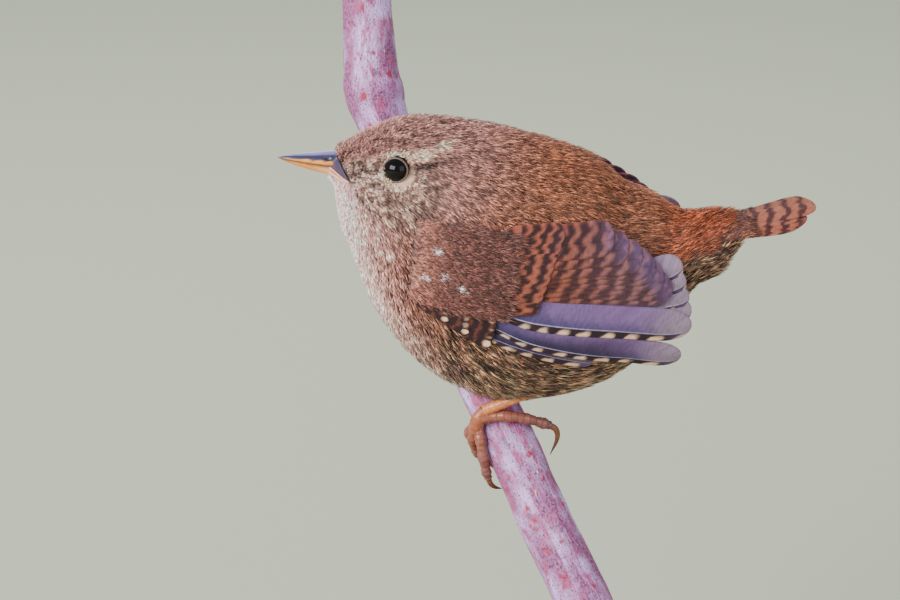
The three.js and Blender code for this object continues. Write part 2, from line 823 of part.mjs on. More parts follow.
// The stem presses a groove into the belly.
const torso = solid(bodyPiece(cutAfter(NECK_END), cutBefore(TORSO_END), 16)).subtract(stemInBird);
addNode(bird, "torso", largestGeometry(torso), MATERIALS.feathers);
addNode(bird, "rump", bodyPiece(cutAfter(TORSO_END), LAST_RIB, 8), MATERIALS.feathers);
addNode(bird, "bill_upper", upperMandible(), MATERIALS.bill);
addNode(bird, "bill_lower", mandible(BILL.chin, -1), MATERIALS.billPale);
for (const [name, side] of [["left", -1], ["right", 1]]) {
  const ball = new THREE.SphereGeometry(EYE.radius, 16, 10).translate(...eyeCentre(side));
  addNode(bird, `eye_${name}`, ball, MATERIALS.eye);
  addNode(bird, `wing_${name}`, wingGeometry(side), MATERIALS.wing);
}
addNode(bird, "tail", tailGeometry(), MATERIALS.wing);
addLeg("left", LEFT_GRIP, LEFT_HEEL);
addLeg("right", RIGHT_GRIP, RIGHT_HEEL);
addNode(group, "perch", perchGeometry(), MATERIALS.bark);
addNode(group, "stand_base", standBase(), MATERIALS.wood);
addNode(group, "stand_rod", standRod(), MATERIALS.steel);
addNode(group, "stand_collar", standCollar(), MATERIALS.brass);

export default group;
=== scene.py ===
"""A life-size wren clinging to a slanting stem on a small display stand.

Every surface is worked out in millimetres with numpy and put into the frame in metres.
The bird's own frame has its bill towards -x, its left side towards -y and its back towards +z;
to_room leans it and lifts it to its place over the stand.
"""
import math

import bpy
import numpy as np
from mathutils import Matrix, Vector


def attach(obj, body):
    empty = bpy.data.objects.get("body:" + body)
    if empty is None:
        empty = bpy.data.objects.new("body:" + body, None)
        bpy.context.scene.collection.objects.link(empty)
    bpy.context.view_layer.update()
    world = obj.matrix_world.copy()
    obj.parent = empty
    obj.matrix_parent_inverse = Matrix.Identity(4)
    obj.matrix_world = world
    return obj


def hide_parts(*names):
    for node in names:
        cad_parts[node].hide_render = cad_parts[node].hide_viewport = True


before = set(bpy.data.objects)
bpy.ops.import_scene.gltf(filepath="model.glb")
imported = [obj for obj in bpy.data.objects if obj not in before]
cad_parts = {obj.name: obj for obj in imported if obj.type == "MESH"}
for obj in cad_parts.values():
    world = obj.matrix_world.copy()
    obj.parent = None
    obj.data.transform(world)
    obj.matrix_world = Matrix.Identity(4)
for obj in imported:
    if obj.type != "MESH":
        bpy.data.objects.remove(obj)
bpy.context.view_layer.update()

# Driving dimensions, in millimetres

MM = 0.001
TAU = 2 * np.pi
# The bird leans to its left about its long axis, and its own frame stands this high over the table.
LEAN = math.radians(9)
BIRD_HEIGHT = 90.7
# How much each ring of the body narrows above its middle, as a share of its half width.
EGG = 0.12
COAT_DEPTH = 0.9

# Ribs of the body: top x, top z, bottom x, bottom z, half width.
RIBS = np.array([
    [-36.5, 20.6, -37.5, 16.8, 2.2],
    [-34.9, 22.2, -36.9, 15.1, 3.8],
    [-32.3, 23.9, -36.5, 11.4, 6.0],
    [-27.9, 26.1, -35.5, 6.9, 7.8],
    [-23.5, 27.3, -34.0, 3.5, 9.2],
    [-18.2, 27.2, -32.3, -0.9, 11.0],
    [-12.1, 26.3, -30.1, -6.1, 13.2],
    [-6.0, 24.8, -26.7, -11.7, 15.5],
    [-0.6, 23.1, -22.2, -16.9, 17.3],
    [4.7, 21.3, -16.3, -21.3, 18.3],
    [9.7, 19.0, -8.4, -25.2, 18.5],
    [14.3, 15.0, 1.3, -25.0, 17.0],
    [19.1, 12.7, 10.9, -22.2, 14.3],
    [22.8, 10.2, 19.7, -15.6, 11.4],
    [25.9, 9.0, 26.4, -5.1, 8.8],
    [29.5, 9.2, 31.2, -1.4, 6.9],
    [32.4, 9.1, 34.5, 2.9, 5.6],
])
LAST_RIB = len(RIBS) - 1

# The eye's place on the cheek, its radius and how deep its centre is sunk, and the ring of its lids.
EYE_X, EYE_Z, EYE_RADIUS, EYE_SUNK = -25.4, 20.1, 2.35, 1.45
LID_RING, LID_THICK = 2.25, 0.2

# The mouth's corner and the two ends of the bill's base, as x and z on the cheek.
CORNER_X, CORNER_Z = -33.9, 17.35
BASE_TOP, BASE_LOW = (-36.4, 20.9), (-37.7, 17.1)
BASE_SLANT = (CORNER_X - BASE_TOP[0]) / (BASE_TOP[1] - CORNER_Z)

# The folded wing's map: s runs from the wrist towards the tips and t across the wing upwards.
# Its sheet bulges sideways at WING_BULGE_AT and falls off in front, behind and at the wrist. The right
# wing lies WING_RAISE higher.
WRIST_X, WRIST_Z = -20.5, -1.85
WING_SLOPE = math.radians(7.9)
WING_BULGE, WING_BULGE_AT, WING_FRONT_FALL = 19.6, 22.0, 5.3
WING_WRIST_FALL = 3.4
WING_REAR_REACH, WING_REAR_FALL, WING_CROSS = 26.0, 5.1, 21.0
WING_DEEPEST, WING_SKIN_LIFT, WING_LAYER_LIFT, WING_RAISE = 3.6, 0.62, 0.33, 2.2
VANE_THICK = 0.14

# Stations of the stem in the room: x, y, z and radius.
STEM = np.array([
    [9.8, -9.4, 25.0, 5.05],
    [7.7, -8.5, 30.3, 5.0],
    [0.6, -4.2, 44.6, 4.8],
    [-7.1, 2.0, 60.9, 4.6],
    [-10.4, 5.7, 67.0, 4.5],
    [-14.8, 17.6, 75.6, 4.4],
    [-20.6, 25.6, 88.1, 4.35],
    [-27.2, 27.4, 107.6, 4.5],
    [-29.6, 28.6, 114.6, 5.3],
    [-30.4, 29.4, 120.2, 4.8],
    [-31.1, 30.6, 131.3, 4.45],
    [-31.4, 31.0, 137.2, 4.4],
])
# Heights of the two saw cuts.
STEM_LOWER_CUT, STEM_UPPER_CUT = 26.2, 134.8

# Colours of the plumage and the rest, as screen colours from 0 to 255


def ink(red, green, blue):
    """Turns a screen colour into the linear colour that the shaders use."""
    c = np.array([red, green, blue]) / 255.0
    return np.where(c <= 0.04045, c / 12.92, ((c + 0.055) / 1.055) ** 2.4)


# The upper side, the under side, the face, and the wings and tail.
BACK, BACK_DARK = ink(190, 116, 82), ink(74, 42, 32)
CROWN, RUMP = ink(210, 149, 138), ink(216, 107, 60)
THROAT = ink(255, 222, 214) * [1.35, 1.02, 1.04]
BREAST, FLANK = ink(200, 133, 118), ink(192, 124, 106)
BELLY, BELLY_DARK, BUFF_TIP = ink(116, 70, 54), ink(28, 15, 12), ink(224, 172, 130)
BROW, EYE_LINE, CHEEK = ink(250, 204, 178), ink(54, 32, 28), ink(240, 192, 172)
LID = ink(84, 66, 56)
BAR_NEAR, BAR_FAR = ink(122, 65, 50), ink(112, 74, 78)
BARRED_DARK, BARRED_FAR = ink(38, 22, 26), ink(50, 33, 50)
WEB_TIP = ink(160, 140, 150)
TAIL_BASE, TAIL_DARK = ink(148, 88, 70), ink(52, 32, 40)
WEB_GREY, WEB_DARK, WEB_BLUE = ink(121, 91, 139), ink(46, 30, 38), ink(72, 61, 102)
SPOT, SHAFT = ink(232, 190, 160), ink(196, 186, 226)
SHOULDER, SHOULDER_SPOT = ink(134, 79, 70), ink(250, 232, 228)
# Colours of the bill's horn; the pale lilac along the ridge is a painted highlight.
HORN_BLUE, RIDGE_HIGHLIGHT, HORN_ORANGE = ink(52, 50, 78), ink(150, 140, 190), ink(226, 146, 56)
WARM_SKIN, PALE_SKIN, SHIN, TOE_TIP = ink(146, 80, 58), ink(178, 98, 60), ink(206, 124, 74), ink(116, 70, 72)
CLAW_ROOT, CLAW_TIP = ink(138, 84, 54), ink(62, 38, 28)

# Numbers that vary over the surface


def smooth(low, high, x):
    """0 below low, 1 above high and an even S between them."""
    t = np.clip((x - low) / (high - low), 0, 1)
    return t * t * (3 - 2 * t)


def between(x, start, full, fade, end):
    """0 before start and after end, 1 from full to fade, and an even S on each side."""
    return smooth(start, full, x) * smooth(end, fade, x)


def mix(a, b, share):
    """Colour a where share is 0, colour b where it is 1."""
    return a + (b - a) * np.asarray(share)[..., None]


def unit(vectors):
    """The vectors at length 1."""
    return vectors / np.linalg.norm(vectors, axis=-1, keepdims=True)


def hashed(cells, seed):
    """A fixed number from 0 to 1 for each whole-number cell, by folding its digits with sines."""
    dots = cells @ np.array([12.9898, 78.233, 37.719]) + seed * 17.31
    return np.modf(np.abs(np.sin(dots) * 43758.5453))[0]


def noise(points, size, seed=0):
    """Smooth noise from 0 to 1: eight corner numbers of a cube of this size, blended by S curves."""
    p = np.asarray(points, float) / size
    base = np.floor(p)
    f = p - base
    f = f * f * (3 - 2 * f)
    total = np.zeros(p.shape[:-1])
    for corner in np.ndindex(2, 2, 2):
        c = np.array(corner)
        weight = np.prod(np.where(c == 1, f, 1 - f), axis=-1)
        total += weight * hashed(base + c, seed)
    return total


def cubic(p0, p1, p2, p3, f):
    """The point a share f of the way from p1 to p2 on the smooth cubic through p0, p1, p2 and p3: it
    leaves p1 along p0 to p2 and reaches p2 along p1 to p3."""
    slope_in, slope_out, rest = (p2 - p0) / 2, (p3 - p1) / 2, p2 - p1
    square = 3 * rest - 2 * slope_in - slope_out
    return p1 + f * slope_in + f * f * square + f**3 * (slope_in + slope_out - 2 * rest)


# The body's surface


def rib_at(place):
    """The rib's five numbers at a place counted in ribs, by a smooth cubic through the listed ones."""
    place = np.asarray(place, float)
    start = np.clip(np.floor(place).astype(int), 0, LAST_RIB - 1)
    ends = (RIBS[np.clip(start + k, 0, LAST_RIB)] for k in (-1, 0, 1, 2))
    return cubic(*ends, (place - start)[..., None])


def rib_axes(place):
    """The middle x and z of a rib, the x and z from there to its top, and its half width."""
    top_x, top_z, low_x, low_z, half = np.moveaxis(rib_at(place), -1, 0)
    return (top_x + low_x) / 2, (top_z + low_z) / 2, (top_x - low_x) / 2, (top_z - low_z) / 2, half


def body_point(place, angle, grow=0.0):
    """A point of the body: round each rib by angle from its top towards the right side, an egg-shaped
    ring whose half width is a little less above the middle, grown outwards by grow."""
    middle_x, middle_z, up_x, up_z, half = rib_axes(place)
    up = np.cos(angle)
    reach = up * (1 + grow / np.hypot(up_x, up_z))
    y = np.sin(angle) * (half + grow) * (1 - EGG * up)
    return np.stack([middle_x + up_x * reach, y, middle_z + up_z * reach], -1)


def body_half_width(x, z):
    """The body's half width over a point of its middle plane: the rib through the point is found by
    halving the ribs between, and the ring's width follows from the height on it. 0 outside."""
    x, z = np.broadcast_arrays(np.asarray(x, float), np.asarray(z, float))
    low, high = np.zeros(x.shape), np.full(x.shape, float(LAST_RIB))
    for _ in range(22):
        place = (low + high) / 2
        middle_x, middle_z, up_x, up_z, _ = rib_axes(place)
        ahead = (x - middle_x) * up_z - (z - middle_z) * up_x > 0
        low, high = np.where(ahead, place, low), np.where(ahead, high, place)
    middle_x, middle_z, up_x, up_z, half = rib_axes((low + high) / 2)
    up = ((x - middle_x) * up_x + (z - middle_z) * up_z) / (up_x**2 + up_z**2)
    inside = (np.abs(up) < 1) & (high > 1e-3) & (low < LAST_RIB - 1e-3)
    return np.where(inside, half * np.sqrt(np.clip(1 - up * up, 0, 1)) * (1 - EGG * up), 0.0)


def to_room(points):
    """Leans points of the bird's frame about the x axis and lifts them to their height."""
    x, y, z = np.moveaxis(np.asarray(points, float), -1, 0)
    c, s = math.cos(LEAN), math.sin(LEAN)
    return np.stack([x, y * c - z * s, y * s + z * c + BIRD_HEIGHT], -1)


# Meshes from arrays


def piece(name, points, faces, slot, material, replaces=(), tint=None, uv=None, uv_name="OFBake", room=False):
    """Puts points (millimetres) and triangles into one mesh object, with its vertex colours and its map,
    and makes it ride on the part's one body."""
    points = np.asarray(points, float) if room else to_room(points)
    faces = np.asarray(faces, np.int32)
    sides = faces.shape[1]
    mesh = bpy.data.meshes.new(name)
    mesh.vertices.add(len(points))
    mesh.vertices.foreach_set("co", (points * MM).astype(np.float32).ravel())
    mesh.loops.add(faces.size)
    mesh.loops.foreach_set("vertex_index", faces.ravel())
    mesh.polygons.add(len(faces))
    mesh.polygons.foreach_set("loop_start", np.arange(0, faces.size, sides, dtype=np.int32))
    mesh.polygons.foreach_set("use_smooth", np.ones(len(faces), bool))
    if uv is not None:
        layer = mesh.uv_layers.new(name=uv_name)
        layer.data.foreach_set("uv", np.asarray(uv, np.float32)[faces.ravel()].ravel())
    if tint is not None:
        colour = mesh.color_attributes.new("tint", "FLOAT_COLOR", "POINT")
        rgba = np.concatenate([np.clip(tint, 0, 1), np.ones((len(points), 1))], 1)
        colour.data.foreach_set("color", rgba.astype(np.float32).ravel())
    mesh.update(calc_edges=True)
    mesh.validate()
    made = bpy.data.objects.new(name, mesh)
    bpy.context.scene.collection.objects.link(made)
    mesh.materials.append(material)
    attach(made, "root")
    if replaces:
        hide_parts(*replaces)
    return made


def signed_volume(points, faces):
    """Six times the volume inside a closed mesh, below 0 where its faces point inwards."""
    a, b, c = points[faces[:, 0]], points[faces[:, 1]], points[faces[:, 2]]
    return np.einsum("ij,ij->", a, np.cross(b, c))


def outward(points, faces):
    """The faces, turned round if they point inwards."""
    return faces[:, ::-1] if signed_volume(points, faces) < 0 else faces


def grid_faces(rows, count, wrap=False):
    """Two triangles in every cell of a grid of rows of points, and with wrap also from the last point of
    each row to its first."""
    start = np.arange(rows - 1)[:, None] * count
    i = np.arange(count if wrap else count - 1)
    a, b = (start + i).ravel(), (start + (i + 1) % count).ravel()
    return np.concatenate([np.stack([a, b, b + count], 1), np.stack([a, b + count, a + count], 1)])


def with_hubs(grid):
    """A grid's values as one list, and after them the means of the first and the last row."""
    return np.concatenate([grid.reshape(-1, grid.shape[-1]), grid[[0, -1]].mean(1)])


def ring_skin(rings, wrap=True):
    """Joins rings of points (rows, count, 3) into a skin of triangles closed by a fan at each end. Without
    wrap the last point of each ring already lies on its first, as the seam of a map needs."""
    rows, count, _ = rings.shape
    points = with_hubs(rings)
    i = np.arange(count if wrap else count - 1)
    j, hub, last_row = (i + 1) % count, rows * count, (rows - 1) * count
    first = np.stack([j, i, np.full(len(i), hub)], 1)
    last = np.stack([last_row + i, last_row + j, np.full(len(i), hub + 1)], 1)
    faces = np.concatenate([grid_faces(rows, count, wrap), first, last])
    return points, outward(points, faces)


def plate(upper, lower):
    """Closes a thin plate between an upper and a lower grid of points, split into triangles alike."""
    rows, columns, _ = upper.shape
    points = np.concatenate([upper.reshape(-1, 3), lower.reshape(-1, 3)])
    top, low = grid_faces(rows, columns), rows * columns
    r, c = np.arange(rows), np.arange(columns)
    rim = np.concatenate([
        c[:-1], r[:-1] * columns + columns - 1, (rows - 1) * columns + c[:0:-1], r[:0:-1] * columns
    ])
    after = np.roll(rim, -1)
    wall = [np.stack([after, rim, rim + low], 1), np.stack([after, rim + low, after + low], 1)]
    faces = np.concatenate([top, top[:, ::-1] + low, *wall])
    return points, outward(points, faces)


def along_path(stations, steps):
    """Points, tangents and radii on a smooth cubic through stations of x, y, z and radius."""
    stations = np.asarray(stations, float)
    last = len(stations) - 1
    u = np.linspace(0, last, steps)
    start = np.clip(np.floor(u).astype(int), 0, last - 1)
    before, beyond = 2 * stations[:1] - stations[1:2], 2 * stations[-1:] - stations[-2:-1]
    padded = np.concatenate([before, stations, beyond])
    value = cubic(*(padded[start + k] for k in range(4)), (u - start)[:, None])
    return value[:, :3], unit(np.gradient(value[:, :3], axis=0)), value[:, 3]


def path_run(points):
    """The distance along a path at each of its points."""
    return np.concatenate([[0], np.cumsum(np.linalg.norm(np.diff(points, axis=0), axis=1))])


def path_frame(tangent, first=(0.0, -1.0, 0.01)):
    """Two directions across a path that turn with it as little as they can."""
    side = np.array(first, float)
    sides = []
    for t in tangent:
        side = unit(side - t * (side @ t))
        sides.append(side)
    sides = np.array(sides)
    return sides, np.cross(tangent, sides)


def ring_directions(tangent, angle):
    """Unit directions round every point of a path, at the given angles."""
    side, other = path_frame(tangent)
    return np.cos(angle)[None, :, None] * side[:, None] + np.sin(angle)[None, :, None] * other[:, None]


def tube_rings(stations, steps, count, swell=None):
    """Rings round a path; swell(share along, angle) multiplies the radius."""
    centre, tangent, radius = along_path(stations, steps)
    angle = np.linspace(0, TAU, count, endpoint=False)
    r = radius[:, None] * np.ones((1, count))
    if swell is not None:
        r = r * swell(np.linspace(0, 1, steps)[:, None], angle[None])
    return centre[:, None] + ring_directions(tangent, angle) * r[..., None]


def joined(parts):
    """Several (points, faces, tint) as one, with the faces counted on."""
    points, faces, tints = zip(*parts)
    starts = np.cumsum([0] + [len(p) for p in points[:-1]])
    faces = [f + start for f, start in zip(faces, starts)]
    return np.concatenate(points), np.concatenate(faces), np.concatenate(tints)


def joined_piece(name, parts, slot, material, replaces=(), room=False):
    """One mesh object from several (points, faces, tint)."""
    points, faces, tint = joined(parts)
    piece(name, points, faces, slot, material, replaces, tint, room=room)


# Materials

BUMP_DISTANCE, COAT_ROUGHNESS, SHEEN_ROUGHNESS = 0.0002, 0.08, 0.5
GRAIN_SOCKETS = (
    ("Colour", "INPUT", "Color"),
    ("Scale", "INPUT", "Float"),
    ("Variation", "INPUT", "Float"),
    ("Roughness", "INPUT", "Float"),
    ("Colour", "OUTPUT", "Color"),
    ("Roughness", "OUTPUT", "Float"),
    ("Height", "OUTPUT", "Float"),
)


def feed(tree, node, values, sources):
    """Sets some inputs of a shader node to values and links outputs of other nodes to others."""
    for key, value in values.items():
        node.inputs[key].default_value = value
    for key, source in sources.items():
        tree.links.new(source, node.inputs[key])
    return node


def add_node(tree, kind, values=None, sources=None, **settings):
    """A new shader node with its settings, the values of some inputs and the outputs that feed others."""
    node = tree.nodes.new("ShaderNode" + kind)
    for key, value in settings.items():
        setattr(node, key, value)
    return feed(tree, node, values or {}, sources or {})


def group_grain():
    """A shader group: darkens and lightens a colour by fine noise, and gives a bump from the same noise."""
    group = bpy.data.node_groups.new("fine_grain", "ShaderNodeTree")
    for name, way, kind in GRAIN_SOCKETS:
        group.interface.new_socket(name, in_out=way, socket_type="NodeSocket" + kind)
    enter, leave = group.nodes.new("NodeGroupInput").outputs, group.nodes.new("NodeGroupOutput")
    place = add_node(group, "TexCoord").outputs["Object"]
    fine = add_node(group, "TexNoise", {"Detail": 5}, {"Vector": place, "Scale": enter["Scale"]})
    fine = fine.outputs["Fac"]
    centred = add_node(group, "Math", {1: 0.5}, {0: fine}, operation="SUBTRACT").outputs[0]
    varied = {0: centred, 1: enter["Variation"]}
    amount = add_node(group, "Math", {2: 1.0}, varied, operation="MULTIPLY_ADD").outputs[0]
    scaled = {0: enter["Colour"], "Scale": amount}
    shade = add_node(group, "VectorMath", {}, scaled, operation="SCALE").outputs[0]
    spread = {0: centred, 2: enter["Roughness"]}
    rough = add_node(group, "Math", {1: 0.25}, spread, operation="MULTIPLY_ADD").outputs[0]
    feed(group, leave, {}, {"Colour": shade, "Roughness": rough, "Height": fine})
    return group


GRAIN = group_grain()


def painted(
    name, roughness, scale, variation, bump, colour=None, metallic=0.0, coat=0.0, sheen=0.0, specular=0.35
):
    """A material on the fine grain: the vertex tint, or one colour where it is given, varied and bumped."""
    material = bpy.data.materials.new(name)
    material.use_nodes = True
    tree = material.node_tree
    values, sources = {"Scale": scale, "Variation": variation, "Roughness": roughness}, {}
    if colour is None:
        sources["Colour"] = add_node(tree, "Attribute", attribute_name="tint").outputs["Color"]
    else:
        values["Colour"] = (*colour, 1.0)
    grain = add_node(tree, "Group", node_tree=GRAIN)
    feed(tree, grain, values, sources)
    relief = {"Strength": bump, "Distance": BUMP_DISTANCE}
    normal = add_node(tree, "Bump", relief, {"Height": grain.outputs["Height"]}).outputs["Normal"]
    look = {
        "Metallic": metallic,
        "Coat Weight": coat,
        "Coat Roughness": COAT_ROUGHNESS,
        "Sheen Weight": sheen,
        "Sheen Roughness": SHEEN_ROUGHNESS,
        "Specular IOR Level": specular,
    }
    grained = {"Base Color": grain.outputs["Colour"], "Roughness": grain.outputs["Roughness"]}
    feed(tree, tree.nodes["Principled BSDF"], look, {**grained, "Normal": normal})
    return material


DOWN = painted("down_skin", 0.9, 2600, 0.5, 0.5)
BARBS = painted("body_feathers", 0.62, 3000, 0.35, 0.2, sheen=0.15)
VANES = painted("wing_and_tail_vanes", 0.6, 2600, 0.3, 0.35, sheen=0.02, specular=0.2)
TAIL_VANES = painted("tail_vanes", 0.8, 2600, 0.3, 0.4, specular=0.08)
HORN = painted("bill_horn", 0.32, 1500, 0.18, 0.12, coat=0.15)
SCALES = painted("leg_scales", 0.34, 1800, 0.35, 0.4, coat=0.3)
CLAW = painted("claw_horn", 0.3, 1600, 0.2, 0.1, coat=0.2)
EYE = painted("eye", 0.04, 600, 0.0, 0.0, colour=ink(10, 7, 8), specular=0.2)

# The plumage's markings, alike on skin and coat

# Lines of the face: z and x of the crescent, x and z of the dark line and the brow, and the brow's halves.
CRESCENT = ([12.4, 14.5, 16.7, 19.0], [-21.6, -19.5, -18.2, -16.4])
DARK_LINE = ([-23.0, -19.7, -15.5], [20.7, 21.2, 22.6])
BROW_LINE = ([-28.0, -25.4, -22.5, -19.7, -17.5, -14.5], [22.3, 23.2, 22.7, 22.9, 24.0, 25.0])
BROW_HALF = ([-28.0, -25.4, -21.0, -18.0, -14.5], [0.35, 0.6, 0.95, 0.9, 0.5])
CHEEK_X, CHEEK_Z, LORE_X, LORE_Z = -25.0, 15.6, -31.0, 19.0
MM_PER_RIB = 5.1


def head_marks(points, colour):
    """Adds the pale brow that bends over and behind the eye, the dark line under it, the mottled lores and
    cheek, the dark crescent behind the cheek and the pale eye ring."""
    x, y, z = np.moveaxis(points, -1, 0)
    wobble = (noise(points, 1.6, 3) - 0.5) * 1.2
    on_side = smooth(2.0, 4.5, np.abs(y))
    mottle = smooth(0.42, 0.62, noise(points * np.array([1.0, 1.0, 1.5]), 0.62, 31))
    mottled = mix(EYE_LINE, CHEEK, 0.12 + 0.88 * mottle)
    cheek = smooth(7.4, 4.6, np.hypot((x - CHEEK_X) * 0.72, z - CHEEK_Z) + wobble)
    lore = smooth(3.6, 1.8, np.hypot((x - LORE_X) * 0.62, z - LORE_Z) + wobble * 0.5)
    colour = mix(colour, mottled, np.maximum(cheek * 0.8, lore * 0.95) * on_side)
    crescent_gap = np.abs(x - np.interp(z, *CRESCENT) + wobble * 0.4)
    crescent = smooth(0.75, 0.2, crescent_gap) * between(z, 11.6, 12.8, 18.6, 20.2)
    colour = mix(colour, EYE_LINE, crescent * on_side * 0.8)
    line_gap = np.abs(z - np.interp(x, *DARK_LINE)) + np.abs(wobble) * 0.5
    line = smooth(0.95, 0.3, line_gap) * between(x, -23.8, -22.4, -16.0, -13.0)
    colour = mix(colour, EYE_LINE, line * on_side * 0.85)
    brow_z = np.interp(x, *BROW_LINE)
    brow = smooth(1.3, 0.6, np.abs(z - brow_z) / np.interp(x, *BROW_HALF) + wobble * 0.4)
    brow = brow * between(x, -29.5, -27.5, -16.0, -13.5) * on_side
    colour = mix(colour, BROW, brow * 0.85)
    over = smooth(0.8, 0.3, np.abs(z - brow_z - 1.7)) * between(x, -29, -26, -20, -16)
    colour = mix(colour, BACK_DARK, over * on_side * 0.35)
    ring = smooth(3.35, 2.85, np.hypot(x - EYE_X, z - EYE_Z))
    lower = smooth(1.2, -1.5, z - EYE_Z)
    return mix(colour, BROW * 1.1, ring * on_side * (0.25 + 0.75 * lower))


def scalloped(along, round_it, pitch, wide, bow, shift=0.0):
    """Rows of bowed bars as a wave from -1 to 1: a row to each pitch along, a bow to each width round, and
    every other row moved by half a width."""
    bowed = bow * np.cos(TAU * round_it / wide + np.pi * np.floor(along / pitch))
    return np.sin(TAU * (along / pitch + bowed + shift))


def plumage(points, place, angle):
    """The coat's colour: brown above with fine dark bars, cream throat and breast, flanks and belly of
    scalloped feathers with a dark bar and a pale tip, redder rump."""
    broad, fine = noise(points, 5.0, 1), noise(points, 0.7, 2)
    wobble = (noise(points, 2.2, 3) - 0.5) * 1.6
    below = 0.5 - 0.5 * np.cos(angle)
    along = place * MM_PER_RIB + wobble * 0.5
    turned = np.mod(angle, TAU)
    round_it = np.where(np.sin(angle) < 0, turned - TAU, turned)
    round_it = round_it * rib_at(np.clip(place, 0, LAST_RIB))[..., 4] * 1.05
    upper = mix(CROWN, BACK, smooth(5.5, 9.0, place))
    upper = mix(upper, RUMP, smooth(12.0, 14.2, place)) * (1 - 0.3 * smooth(13.8, 15.0, place))[..., None]
    bars = scalloped(along, round_it, 1.5, 2.6, 0.22)
    upper = mix(upper, BACK_DARK, smooth(0.2, 0.9, bars) * (0.25 + 0.45 * broad) * smooth(4.5, 7.0, place))
    streak = noise(np.stack([along * 0.35, round_it, 0 * along], -1), 0.42, 12)
    upper = mix(upper, BACK_DARK, smooth(0.52, 0.75, streak) * smooth(7.0, 5.0, place) * 0.7)
    under = mix(THROAT, BREAST, smooth(3.6, 8.0, place + wobble * 0.4 + (1 - below) * 3.2))
    under = mix(under, FLANK, smooth(6.4, 9.0, place + wobble * 0.4 + (1 - below) * 3.0))
    # Painted light: the lowest part of the throat and breast is lightened towards the throat's colour, where
    # it faces away from the lamps.
    under = mix(under, THROAT, smooth(0.78, 0.96, below) * smooth(11.0, 8.0, place) * 0.75)
    under = mix(under, BELLY, smooth(9.0, 11.5, place))
    under = mix(under, FLANK * 0.8, smooth(0.5, 0.75, streak) * 0.5)
    scallop = scalloped(along, round_it, 2.3, 2.7, 0.3, wobble * 0.25)
    barred = smooth(5.4, 8.2, place + (1 - below) * 3.4) * (0.25 + 0.75 * smooth(6.6, 9.0, place))
    under = mix(under, BELLY_DARK, smooth(-0.25, 0.35, scallop) * barred * 0.95)
    under = mix(under, BUFF_TIP, smooth(-0.3, -0.8, scallop) * barred * 0.9)
    edge = 0.42 + 0.05 * np.sin(place * 1.3) + 0.035 * wobble
    edge = edge + 0.08 * smooth(4.0, 6.5, place) - 0.06 * smooth(12.5, 14.5, place)
    colour = mix(upper, under, smooth(edge - 0.08, edge + 0.08, below))
    on_head = smooth(6.6, 5.4, place)
    colour = mix(colour, head_marks(points, colour), on_head)
    return colour * (0.65 + 0.7 * fine[..., None]) * (0.9 + 0.2 * broad[..., None])


MAP_MARGIN = 0.02


def bake_place(place, angle):
    """The map of the skin's own shape: places along the ribs across, angles round them upwards."""
    u = np.asarray(place) / LAST_RIB
    v = np.mod(np.asarray(angle), TAU) / TAU
    return MAP_MARGIN + (1 - 2 * MAP_MARGIN) * np.stack(np.broadcast_arrays(u, v), -1)


SKIN_ROWS, SKIN_COUNT, SKIN_SHADE = 220, 121, 0.5


def skin():
    """One closed skin under the whole coat: the body's own surface drawn in by the coat's depth."""
    along, round_it = np.linspace(0, LAST_RIB, SKIN_ROWS), np.linspace(0, TAU, SKIN_COUNT)
    place, angle = np.meshgrid(along, round_it, indexing="ij")
    drawn_in = -COAT_DEPTH * smooth(0, 1.5, place) * (1 - 0.4 * smooth(LAST_RIB - 1, LAST_RIB, place))
    rings = body_point(place, angle, drawn_in)
    points, faces = ring_skin(rings, wrap=False)
    # The skin carries the plumage's colours at half strength: painted shade under the coat.
    tint = with_hubs(plumage(rings, place, angle) * SKIN_SHADE)
    uv = np.concatenate([bake_place(place, angle * 0.9999).reshape(-1, 2), [[0.01, 0.5], [0.99, 0.5]]])
    nodes = ("head", "neck", "torso", "rump")
    piece("skin", points, faces, "plumage", DOWN, nodes, tint, uv)


# The coat: small body feathers as combs of tapered barbs

# How many combs cover the body, the tail's root and, before thinning, each wrist.
COMBS, COVERT_COMBS, SHOULDER_COMBS = 27000, 1900, 3600
BARB_COUNT, BARB_SINK = 4, 0.35
# A barb's stations as shares of its length: a three-sided root and middle, and a point.
BARB_SHARES = np.array([0.0, 0.52, 1.0])
BARB_POINTS = 7
BARB_FACES = np.array([
    [0, 2, 1], [0, 1, 4], [0, 4, 3], [1, 2, 5], [1, 5, 4],
    [2, 0, 3], [2, 3, 5], [3, 4, 6], [4, 5, 6], [5, 3, 6],
])
# How wide a comb's patch is on the map, and how much further the coat stands off along the back.
UV_PATCH = 0.003
UPPER_FRINGE = 0.35

# Parts of the coat: first and last rib, which half, and side (-1 left, 1 right, 0 both).
COAT_PIECES = {
    "coat_face": (0, 3.4, "whole", 0),
    "coat_crown": (3.4, 5.6, "upper", 0),
    "coat_throat": (3.4, 5.6, "lower", 0),
    "coat_nape": (5.6, 8.2, "upper", 0),
    "coat_breast": (5.6, 8.2, "lower", 0),
    "coat_back_left": (8.2, 12.4, "upper", -1),
    "coat_back_right": (8.2, 12.4, "upper", 1),
    "coat_belly_left": (8.2, 12.4, "lower", -1),
    "coat_belly_right": (8.2, 12.4, "lower", 1),
    "coat_rump": (12.4, LAST_RIB + 1, "upper", 0),
    "coat_vent": (12.4, LAST_RIB + 1, "lower", 0),
}

# The tail coverts' surface: x of its ovals, and their middle heights, half heights and half widths.
COVERT_X = np.array([30.0, 32.0, 34.0, 36.6])
COVERT_MIDDLE = np.array([4.9, 5.6, 6.3, 7.0])
COVERT_TALL = np.array([4.2, 3.4, 2.3, 1.2])
COVERT_WIDE = np.array([6.4, 5.6, 5.4, 5.6])
COVERT_BED_DEPTH, COVERT_TURN, COVERT_LENGTH = 0.45, 1.95, 2.3


